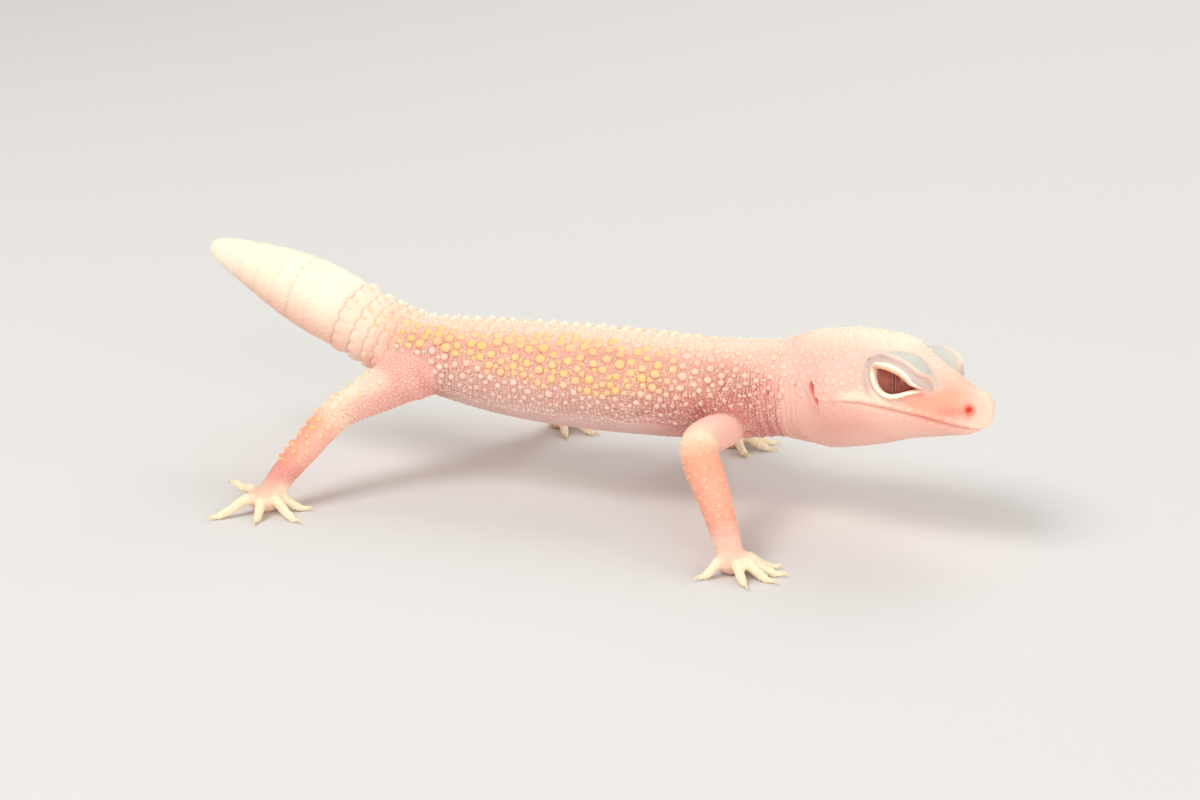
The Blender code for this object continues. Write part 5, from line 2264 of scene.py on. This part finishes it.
@dataclass
class Coat:
    """All the scales: tubercles in rows, beads on the head, plates on the lips and granules between."""

    anatomy: Anatomy
    carver: Carver
    ground: Ground
    markings: Markings
    row_gap: float = 0.2067
    rows: int = 10
    pitch: float = 2.45
    granule_gap: float = 0.60
    ray: float = 16.0
    whorl_reach: float = 0.92
    whorl_gap: float = 0.30
    whorl_shift: float = 0.60

    def build(self) -> None:
        """Builds every kind of scale."""
        # The last figure of the first two finishes is how strongly shade is painted round the scales' feet.
        rough = ScaleFinish("scale_tubercle", 0.72, 0.92, 0.40, 0.35, 0.55).make()
        fine = ScaleFinish("scale_granule", 0.46, 0.14, 0.44, 0.25, 0.30).make()
        lips = ScaleFinish("scale_lip", 0.12, 0.1, 0.36, 0.2).make()
        trunk = self.tubercles()
        small = self.small_tubercles(trunk)
        kinds = [trunk, small, self.whorl_tubercles(), self.limb_tubercles(), self.head_beads()]
        for kind in kinds:
            kind.build(self.ground, self.markings, rough)
        plates = self.lip_plates()
        plates.build(self.ground, self.markings, lips)
        places = np.vstack([kind.seats.places for kind in [*kinds, plates]])
        radii = np.concatenate([np.sqrt(kind.length * kind.width) * 0.98 for kind in [*kinds, plates]])
        for granules in self.granules((places, radii)):
            granules.build(self.ground, self.markings, fine)

    def _kept(self, seats: Seats, keep: NDArray[np.bool_]) -> Seats:
        """Only some of the seats.

        Args:
            seats: the seats.
            keep: which of them to keep.

        Returns:
            The kept seats.
        """
        made = Seats(seats.places[keep], seats.normals[keep], seats.crease[keep])
        made.where = self.anatomy.where(made.places)
        return made

    def tubercles(self) -> Scales:
        """The staggered rows of large tubercles on back and flanks.

        Returns:
            The tubercles.
        """
        spine, chance = self.anatomy.spine, np.random.default_rng(31)
        rays = []
        for row in range(-self.rows, self.rows + 1):
            arcs = np.arange(3.0, 98.0, self.pitch)
            turns = (row + 0.5 * (np.arange(len(arcs)) % 2)) * self.row_gap
            turns = turns + chance.normal(0, 0.022, len(arcs))
            rays.append(spine.rays(spine.index_at_arc(arcs + chance.normal(0, 0.22, len(arcs))), turns))
        starts, runs = (np.vstack(rows) for rows in zip(*rays))
        seats = self.ground.under(starts, runs, self.ray)
        w = seats.where
        seats = self._kept(seats, (w.limb_share < 0.30) & (w.head_share < 0.35) & (w.spine_x > -35.4)
                           & (w.limb_gap > 1.06) & (seats.crease < 0.85) & (self.carver.groin(w) < 0.3)
                           & (w.down + 5 * ripple(w.places, 6.0, 39) < 88))
        w = seats.where
        low, x = w.down, w.spine_x
        size = 0.94 - 0.27 * (1 - ramp(low, 8, 36)) - 0.22 * ramp(low, 62, 84) - 0.30 * ramp(x, 12, 36)
        size = size - 0.22 * ramp(-x, 24, 36)
        size = size * varied(chance, 0.10, len(size))
        size = np.clip(size * (1 - 0.35 * np.minimum(seats.crease * 1.2, 1) * ramp(x, 18, 30)), 0.32, 1.08)
        edge = between(low, 8, 32, 5) * (w.turn > 0)
        sharp = 0.12 + 0.55 * (1 - ramp(low, 6, 45)) + edge + 0.1 * chance.normal(size=len(size))
        sharp = np.clip(sharp, 0, 1)
        height = size * (0.56 + 0.20 * sharp) * (1 + 0.28 * edge)
        return Scales("tubercles", seats, size * 1.02, size * 0.96, height, TUBERCLE, sharp, size * 0.20, 41)

    def small_tubercles(self, rows: Scales) -> Scales:
        """The paler, closer tubercles of the lower flanks, shoulders and nape.

        Args:
            rows: the large ones, which they keep clear of.

        Returns:
            The tubercles.
        """
        w = self.ground.where
        low = w.down
        body = (w.limb_share < 0.35) & (w.head_share < 0.6) & (w.limb_gap > 1.04)
        body &= (self.carver.groin(w) < 0.3) & (self.ground.crease < 0.7)
        flank = between(low, 62, 113, 4) * between(w.spine_x, -34, 30, 2)
        shoulder = between(low, 8, 104, 5) * between(w.spine_x, 22, 47, 3)
        spacing = np.where(flank > shoulder, 1.34, 1.50) - 0.30 * ramp(low, 90, 112)
        seats = self.ground.scatter(spacing, np.maximum(flank, shoulder) * body, 32,
                                    (rows.seats.places, rows.length + 0.42))
        chance = np.random.default_rng(33)
        down = seats.where.down
        size = 0.62 - 0.28 * ramp(down, 86, 114) - 0.12 * (1 - ramp(down, 62, 76))
        size = size * varied(chance, 0.10, len(down))
        size = size * (1 - 0.14 * ramp(seats.where.spine_x, 20, 30))
        return Scales("tubercles_small", seats, size, size * 0.94, size * 0.52, BEAD,
                      np.full(len(size), 0.10), size * 0.2, 42)

    def whorl_tubercles(self) -> Scales:
        """The crowded tubercles on top of the tail's whorls, one row to each whorl's rear edge.

        Returns:
            The tubercles.
        """
        spine, chance = self.anatomy.spine, np.random.default_rng(34)
        rays = []
        for edge in self.carver.whorl_edges:
            turns = np.arange(-self.whorl_reach, self.whorl_reach, self.whorl_gap)
            turns = turns + chance.normal(0, 0.03, len(turns))
            x = edge + self.whorl_shift + chance.normal(0, 0.10, len(turns))
            rays.append(spine.rays(spine.index_at_x(x), turns))
        starts, runs = (np.vstack(rows) for rows in zip(*rays))
        seats = self.ground.under(starts, runs, self.ray)
        w = seats.where
        seats = self._kept(seats, (w.limb_share < 0.3) & (w.spine_x < -34.4))
        low = seats.where.down
        seats.crease = np.zeros(len(low))
        edge = between(np.degrees(seats.where.turn), 2, 34, 5)
        size = (0.60 - 0.16 * ramp(low, 30, 60)) * varied(chance, 0.10, len(low))
        height = size * (0.50 + 0.55 * edge)
        sharp = 0.35 + 0.6 * edge
        return Scales("whorl_tubercles", seats, size, size * 0.92, height, TUBERCLE, sharp, size * 0.35, 43)

    def limb_tubercles(self) -> Scales:
        """The pale tubercles along the outer faces and rear edges of the limbs.

        Returns:
            The tubercles.
        """
        w, normals = self.ground.where, self.ground.normals
        side = np.where(w.limb % 2 == 0, -1.0, 1.0)
        legs = w.limb >= 2
        outward = 0.62 * side * normals[:, 1] + 0.55 * normals[:, 2]
        outward = outward - np.where(legs, 0.55, 0.1) * normals[:, 0]
        keep = (w.limb_share > 0.6) * between(w.limb_along, np.where(legs, 1.0, 2.25), 3.7, 0.1) \
            * (outward > np.where(legs & (w.limb_along < 2.0), 0.60, 0.14)) * (w.places[:, 2] > 6.5)
        seats = self.ground.scatter(np.where(legs, 1.52, 1.50), keep.astype(float), 35)
        chance = np.random.default_rng(36)
        leg = seats.where.limb >= 2
        size = np.where(leg, 0.60, 0.47) * varied(chance, 0.12, len(leg))
        size = size - 0.10 * ramp(seats.where.limb_along, 3, 4)
        height = size * np.where(leg, 0.62 + 0.6 * ramp(-seats.normals[:, 0], 0.3, 0.9), 0.32)
        return Scales("limb_tubercles", seats, size * 1.05, size * 0.95, height, TUBERCLE,
                      np.where(leg, 0.5, 0.15), size * 0.3, 44)

    @staticmethod
    def steep(head: Floats) -> Floats:
        """How far round the head from its top each head place is, in degrees."""
        return np.degrees(np.arctan2(np.abs(head[:, 1]), head[:, 2]))

    def head_beads(self) -> Scales:
        """The small round tubercles of temples, crown and nape.

        Returns:
            The beads.
        """
        w = self.ground.where
        head = w.head
        top = ramp(head[:, 2], 1.5, 5.0) * ramp(head[:, 0], 8.0, 13.0)
        temple = ramp(head[:, 0], 21, 24) * ramp(head[:, 2], -1.0, 2.0)
        eyes = np.min([lengths(w.places - eye.centre)
                       for eye in self.anatomy.eyes().values()], 0)
        keep = (w.head_share > 0.5) * np.maximum(top, temple) * (eyes > 6.6) * (self.ground.crease < 0.25) \
            * (self.carver.ear_gap(head) > 4.5)
        seats = self.ground.scatter(1.12 + 0.30 * ramp(self.steep(head), 25, 60), keep, 37)
        chance = np.random.default_rng(38)
        crown = 1 - ramp(self.steep(seats.where.head), 25, 60)
        size = (0.66 - 0.27 * crown) * varied(chance, 0.12, len(crown))
        return Scales("head_beads", seats, size, size * 0.95, size * (0.17 + 0.53 * crown), BEAD,
                      0.3 * crown, size * 0.1, 45)

    def lip_plates(self) -> Scales:
        """The rows of long low plates along both lips, largest at the snout.

        Returns:
            The plates.
        """
        starts, runs, length, width = [], [], [], []
        out = self.anatomy.head.axes[:, 1]
        mouth = self.anatomy.head.mouth
        for above, reach in ((0.95, 0.50), (-0.85, 0.45)):
            behind = 1.7
            while behind < 21.5:
                long = 0.92 - 0.016 * behind
                for side in (-1.0, 1.0):
                    height = float(np.interp(behind, mouth[:, 0], mouth[:, 1])) + above
                    starts.append(self.anatomy.head.out(np.array([behind, side * 22.0, height])))
                    runs.append(-side * out)
                    length.append(long)
                    width.append(reach - 0.008 * behind)
                behind += 2 * long + 0.06
        seats = self.ground.under(np.array(starts), np.array(runs), 30.0)
        count = len(seats.places)
        return Scales("lip_plates", seats, np.array(length) * 0.98, np.array(width), np.full(count, 0.05),
                      PLATE, np.zeros(count), np.zeros(count), 46)

    def _columns(self, taken: tuple[Floats, Floats]) -> Scales:
        """The upright wrinkled columns of granules on back and flanks, between the tubercles.

        Args:
            taken: the places and radii of the larger scales.

        Returns:
            The granules.
        """
        spine, chance = self.anatomy.spine, np.random.default_rng(61)
        arcs, turns = np.meshgrid(np.arange(0.4, 84.5, 0.72), np.arange(-1.98, 1.98, 0.050))
        arcs, turns = arcs.ravel(), turns.ravel()
        arcs = arcs + 0.62 * ripple(np.stack([arcs, turns * 6.0], 1), 7.0, 62)
        arcs = arcs + chance.normal(0, 0.05, len(arcs))
        turns = turns + chance.normal(0, 0.012, len(turns))
        seats = self.ground.under(*spine.rays(spine.index_at_arc(arcs), turns), self.ray)
        w = seats.where
        seats = self._kept(seats, (w.limb_share < 0.5) & (w.head_share < 0.5) & (w.spine_x > -34.6)
                           & free_in(tree_of(seats.places), len(seats.places), taken))
        size = 0.31 * varied(chance, 0.08, len(seats.places))
        tall = np.clip(0.115 * varied(chance, 0.25, len(size)), 0.04, 0.2)
        return Scales("granules_flank", seats, size * 0.96, size * 1.10, tall, GRANULE, np.zeros(len(size)),
                      size * 0.15, 63)

    def granules(self, taken: tuple[Floats, Floats]) -> list[Scales]:
        """The fine scales that fill all the skin between the larger ones.

        Args:
            taken: the places and radii of the larger scales.

        Returns:
            The granules of the body, the head, the limbs and the tail's end.
        """
        w = self.ground.where
        haunch, everywhere = self.anatomy.haunch(w), np.ones(len(w.arc))
        eyes = np.full(len(w.arc), 9.0)
        for eye in self.anatomy.eyes().values():
            _, lid, near = self.carver.lid_spots(w.places, eye)
            above = eye.into(w.places)[:, 1] > 0.6
            eyes = np.minimum(eyes, np.where(near > 0.5, lid - (1.6 + 2.6 * eye.brow) * above, 9.0))
        clear = (eyes > 1.05) * (self.carver.ear_gap(w.head) > 1.6) * (self.carver.nostril_gap(w.head) > 0.8)
        skull, limb = w.head_share > 0.5, (w.limb_share > 0.5) & (w.head_share <= 0.5)
        cone = (w.spine_x < -34.6) & ~limb
        body = ~skull & ~limb & ~cone & (np.abs(w.turn) > 1.95)
        gap = self.granule_gap
        made = [self._columns(taken)]
        for name, mask, spacing, height, seed in (
                ("granules_belly", body, (gap + 0.04) * everywhere, 0.070, 51),
                ("granules_head", skull, gap * 0.95 * everywhere, 0.040, 52),
                ("granules_limb", limb, gap * (0.92 + 0.22 * haunch) - 0.10 * w.hand_share, 0.085, 53),
                ("granules_tail", cone & (w.spine_x < -48.0), gap * 1.30 * everywhere, 0.028, 54)):
            seats = self.ground.scatter(spacing, mask * clear, seed, taken, 5.0)
            coarse = self.anatomy.haunch(seats.where)
            size = 0.50 * np.interp(seats.where.hand_share, [0, 1], [1.0, 0.85])
            size = size * float(np.median(spacing[mask])) * (1 + 0.46 * coarse)
            chance = np.random.default_rng(seed + 10)
            size = size * varied(chance, 0.08, len(size))
            tall = height * varied(chance, 0.25, len(size)) * (1 - 0.6 * seats.where.hand_share)
            tall = tall * (1 + 0.7 * coarse)
            made.append(Scales(name, seats, size * 1.08, size, np.clip(tall, 0.02, 0.2), GRANULE,
                               np.zeros(len(size)), size * 0.25, seed + 20))
        return made


# --- Lids' edges, eyes and claws


@dataclass
class LidEdges:
    """The thick creamy edge that frames each eye, wider above than below and thin at the front corner."""

    anatomy: Anatomy
    opening: LidOpening
    ball: float = 4.98
    thickness: float = 1.06
    points_round: int = 14
    widths: tuple[tuple[float, float], ...] = (
        (0.0, 1.10), (0.14, 1.36), (0.28, 1.26), (0.40, 0.72), (0.44, 0.46),
        (0.52, 0.60), (0.70, 0.84), (0.85, 0.90), (1.0, 1.10))

    def build(self, finish: bpy.types.Material) -> None:
        """Builds both edges.

        Args:
            finish: their material.
        """
        for word, eye in self.anatomy.eyes().items():
            show("lid_edge_" + word, self._mesh("lid_edge_" + word, eye), finish)

    def _mesh(self, name: str, eye: EyeFrame) -> bpy.types.Mesh:
        """One eye's edge: a closed ring swept round the opening.

        Args:
            name: the mesh's name.
            eye: the eye.

        Returns:
            The mesh.
        """
        loop = smooth_line(self.opening.corners, 9, closed=True)
        count = len(loop)
        run = unit(np.roll(loop, -1, axis=0) - np.roll(loop, 1, axis=0))
        outward = np.stack([-run[:, 1], run[:, 0]], 1)
        if ((loop - loop.mean(0)) * outward).sum() < 0:
            outward = -outward
        place = np.arange(count) / count
        width = np.interp(place, *np.array(self.widths).T) / 2
        scallop = 1.0 + 0.035 * np.cos(TAU * place * 34)
        deep = np.sqrt(np.maximum(self.ball ** 2 - (loop ** 2).sum(1), 1.0))
        base = np.concatenate([loop, deep[:, None]], 1)
        radial = unit(base)
        lateral = np.concatenate([outward, np.zeros((count, 1))], 1)
        lateral = unit(lateral - radial * (lateral * radial).sum(1)[:, None])
        turned = TAU * np.arange(self.points_round) / self.points_round
        c, s = np.cos(turned), np.sin(turned)
        tall = self.thickness / 2 * (0.75 + 0.25 * width / width.max())
        rings = (base[:, None] + lateral[:, None] * (width[:, None] * (1 + c * scallop[:, None]))[..., None]
                 + radial[:, None] * (tall[:, None] * np.sign(s) * np.abs(s) ** 0.8)[..., None])
        index = np.arange(count * self.points_round).reshape(count, -1)
        ahead, side = np.roll(index, -1, 0), np.roll(index, -1, 1)
        both = np.roll(ahead, -1, 1)
        faces = np.concatenate([np.stack([index, ahead, both], 2).reshape(-1, 3),
                                np.stack([index, both, side], 2).reshape(-1, 3)])
        shell = Shell(eye.out(rings.reshape(-1, 3)), faces)
        a, b, d = (shell.places[faces[:, k]] for k in range(3))
        if (np.cross(a, b) * d).sum() < 0:
            shell.faces = faces[:, ::-1]
        above = ramp(loop[:, 1], -0.9, 0.4) * 0.8 + 0.1
        inner = np.tile(ramp(-c, -0.25, 0.55), count) * np.repeat(above, len(c))
        outer = np.tile(ramp(c, 0.55, 1.0), count)
        return mesh_of(name, shell, {"inner": inner, "outer": outer})


@dataclass
class Eyeballs:
    """The eyes, each with its pole in the middle of its pupil."""

    anatomy: Anatomy
    corners: int = 72
    rings: int = 48
    play: float = 0.03
    swell: float = 0.10

    def build(self, finish: bpy.types.Material) -> None:
        """Builds both eyes in place of the frame's.

        Args:
            finish: their material.
        """
        for word, eye in self.anatomy.eyes().items():
            spots, down = ball_spots(self.corners, self.rings)
            radius = self.anatomy.eye_radius - self.play - self.swell * ramp(down, 0.6, 1.2)
            shell = Shell.from_rings(spots * radius[:, None, None], np.array([0, 0, radius[0]]),
                                     np.array([0, 0, -radius[-1]]))
            share = shell.places / self.anatomy.eye_radius
            fields = {"across": share[:, 0], "height": share[:, 1],
                      "far": np.where(share[:, 2] > 0, np.hypot(share[:, 0], share[:, 1]), 1.0)}
            shell.places = shell.places @ eye.upright.T + eye.centre
            if np.linalg.det(eye.upright) < 0:
                shell.faces = shell.faces[:, ::-1]
            piece = show("eyeball_" + word, mesh_of("eyeball_" + word, shell, fields), finish)
            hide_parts("eye_" + word)


@dataclass
class Claws:
    """Twenty small hooked claws, deeper than wide, each growing out of its digit's tip."""

    anatomy: Anatomy
    length: float = 1.4
    gap: float = 0.3
    floor: float = 0.3
    crest: float = 0.55
    arch: float = 0.15
    drop: float = 0.6
    root: float = 0.35
    radius: float = 0.46
    taper: float = 0.65
    point: float = 0.05
    flatness: float = 0.28
    clearance: float = 0.05
    corners: int = 12

    def build(self, finish: bpy.types.Material) -> None:
        """Builds each foot's five claws in place of the frame's.

        Args:
            finish: their material.
        """
        for limb in self.anatomy.limbs:
            claws = [self._claw(limb, number) for number in range(1, 6)]
            tips = np.concatenate([tip for _, tip in claws])
            name = "claws_" + limb.name
            mesh = mesh_of(name, Shell.joined([claw for claw, _ in claws]), {"tip": tips})
            piece = show(name, mesh, finish)
            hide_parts(*[f"claw_{limb.name}_{number}" for number in range(1, 6)])

    def _claw(self, limb: Limb, number: int) -> tuple[Shell, Floats]:
        """One claw and how near its point each of its points is.

        Args:
            limb: the limb.
            number: which digit, from 1 to 5.

        Returns:
            The claw, and 0 at its root to 1 at its point.
        """
        before, tip = limb.digit(number)[-2:]
        out = unit(np.array([tip[0] - before[0], tip[1] - before[1], 0.0]))
        up = np.array([0.0, 0.0, 1.0])
        base = tip + out * limb.digit_radii[-1]
        start = base + out * self.gap * 0.6
        drop = self.drop if number == limb.lifted else start[2] - self.floor
        corners = np.array([base - out * self.root, start,
                            start + out * self.length * self.crest + up * self.arch,
                            start + out * self.length - up * drop])
        path = smooth_line(corners, 5)
        share = np.linspace(0.0, 1.0, len(path))
        radii = self.radius * (1 - share) ** self.taper + self.point
        shell = Shell.bar(path, radii, self.corners)
        side = np.cross(out, up)
        across = (shell.places - tip) @ side
        shell.places = shell.places - side * (across * self.flatness)[:, None]
        shell.places[:, 2] = np.maximum(shell.places[:, 2], self.clearance)
        tips = np.concatenate([np.repeat(share, self.corners), [0.0, 1.0]])
        return shell, ramp(tips, 0.2, 1.0)


# --- The studio


@dataclass(frozen=True)
class Lamp:
    """One soft square lamp. Distances are in metres."""

    name: str
    place: Triple
    aim: Triple
    side: float
    power: float
    colour: Triple

    def build(self) -> None:
        """Hangs the lamp and points it."""
        light = bpy.data.lights.new(self.name, "AREA")
        light.shape = "SQUARE"
        light.size = self.side
        light.energy = self.power
        light.color = self.colour
        lamp = stand(self.name, light)
        lamp.location = self.place
        lamp.rotation_euler = (Vector(self.aim) - Vector(self.place)).to_track_quat("-Z", "Y").to_euler()


@dataclass
class Studio:
    """A pale floor, plain soft light and the camera. Distances are in metres."""

    camera_place: Triple = (0.1331, -0.4229, 0.1611)
    aim: Triple = (0.0044, -0.0018, 0.0180)
    lens: float = 75.0
    sensor: float = 36.0
    floor_side: float = 6.0
    air_strength: float = 0.50
    lamps: tuple[Lamp, ...] = (
        Lamp("key", (-0.40, -0.40, 0.85), (0.0, 0.0, 0.02), 0.50, 5.1, (1.0, 0.985, 0.965)),
        Lamp("fill", (0.55, -0.80, 0.25), (0.02, 0.0, 0.02), 0.60, 4.3, (1.0, 0.97, 0.95)),
        Lamp("side", (0.80, 0.05, 0.30), (0.04, 0.0, 0.02), 0.50, 1.1, (1.0, 0.99, 0.98)),
        Lamp("back", (0.10, 0.75, 0.70), (0.0, 0.0, 0.02), 0.70, 3.0, (1.0, 0.99, 0.98)))

    def build(self) -> None:
        """Builds the floor, the lights, the sky and the camera."""
        self._floor()
        for lamp in self.lamps:
            lamp.build()
        world = bpy.data.worlds.new("studio_air")
        world.use_nodes = True
        air = world.node_tree.nodes["Background"]
        air.inputs["Color"].default_value = (1.0, 0.985, 0.97, 1.0)
        air.inputs["Strength"].default_value = self.air_strength
        scene = bpy.context.scene
        scene.world = world
        scene.view_settings.view_transform = "Standard"
        lens = bpy.data.cameras.new("camera")
        lens.lens = self.lens
        lens.sensor_width = self.sensor
        lens.clip_start, lens.clip_end = 0.01, 50.0
        camera = stand("camera", lens)
        camera.location = self.camera_place
        camera.rotation_euler = (Vector(self.aim) - camera.location).to_track_quat("-Z", "Y").to_euler()
        scene.camera = camera

    def _floor(self) -> None:
        """The floor, a wide sheet with a fine grid of points."""
        half = self.floor_side / 2
        steps = np.linspace(-half, half, 13)
        x, y = np.meshgrid(steps, steps)
        places = np.stack([x.ravel(), y.ravel(), np.zeros(x.size)], 1) / MM
        index = np.arange(x.size).reshape(x.shape)
        a, b = index[:-1, :-1].ravel(), index[:-1, 1:].ravel()
        c, d = index[1:, 1:].ravel(), index[1:, :-1].ravel()
        faces = np.concatenate([np.stack([a, b, c], 1), np.stack([a, c, d], 1)])
        mesh = mesh_of("floor", Shell(places, faces))
        mesh.materials.append(FloorFinish().make())
        stand("floor", mesh)


def main() -> None:
    """Builds the gecko in order: flesh, carving, skin, coat, lids, eyes, claws and studio."""
    logging.basicConfig(level=logging.INFO, format="%(message)s")
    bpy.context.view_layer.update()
    anatomy = Anatomy()
    carver = Carver(anatomy)
    shell, where, relief = carver.carve(anatomy.flesh())
    markings = Markings(anatomy, carver)
    hide = mesh_of("hide", shell, markings.at(where, relief.crease))
    skin = show("hide", hide, HideFinish().make())
    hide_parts(*[name for name in frame["nodes"] if not name.startswith(("eye_", "claw_"))])
    ground = Ground(anatomy, shell, where, relief.crease)
    Coat(anatomy, carver, ground, markings).build()
    LidEdges(anatomy, carver.opening).build(LidFinish().make())
    Eyeballs(anatomy).build(EyeFinish().make())
    Claws(anatomy).build(ClawFinish().make())
    Studio().build()


if __name__ == "__main__":
    main()
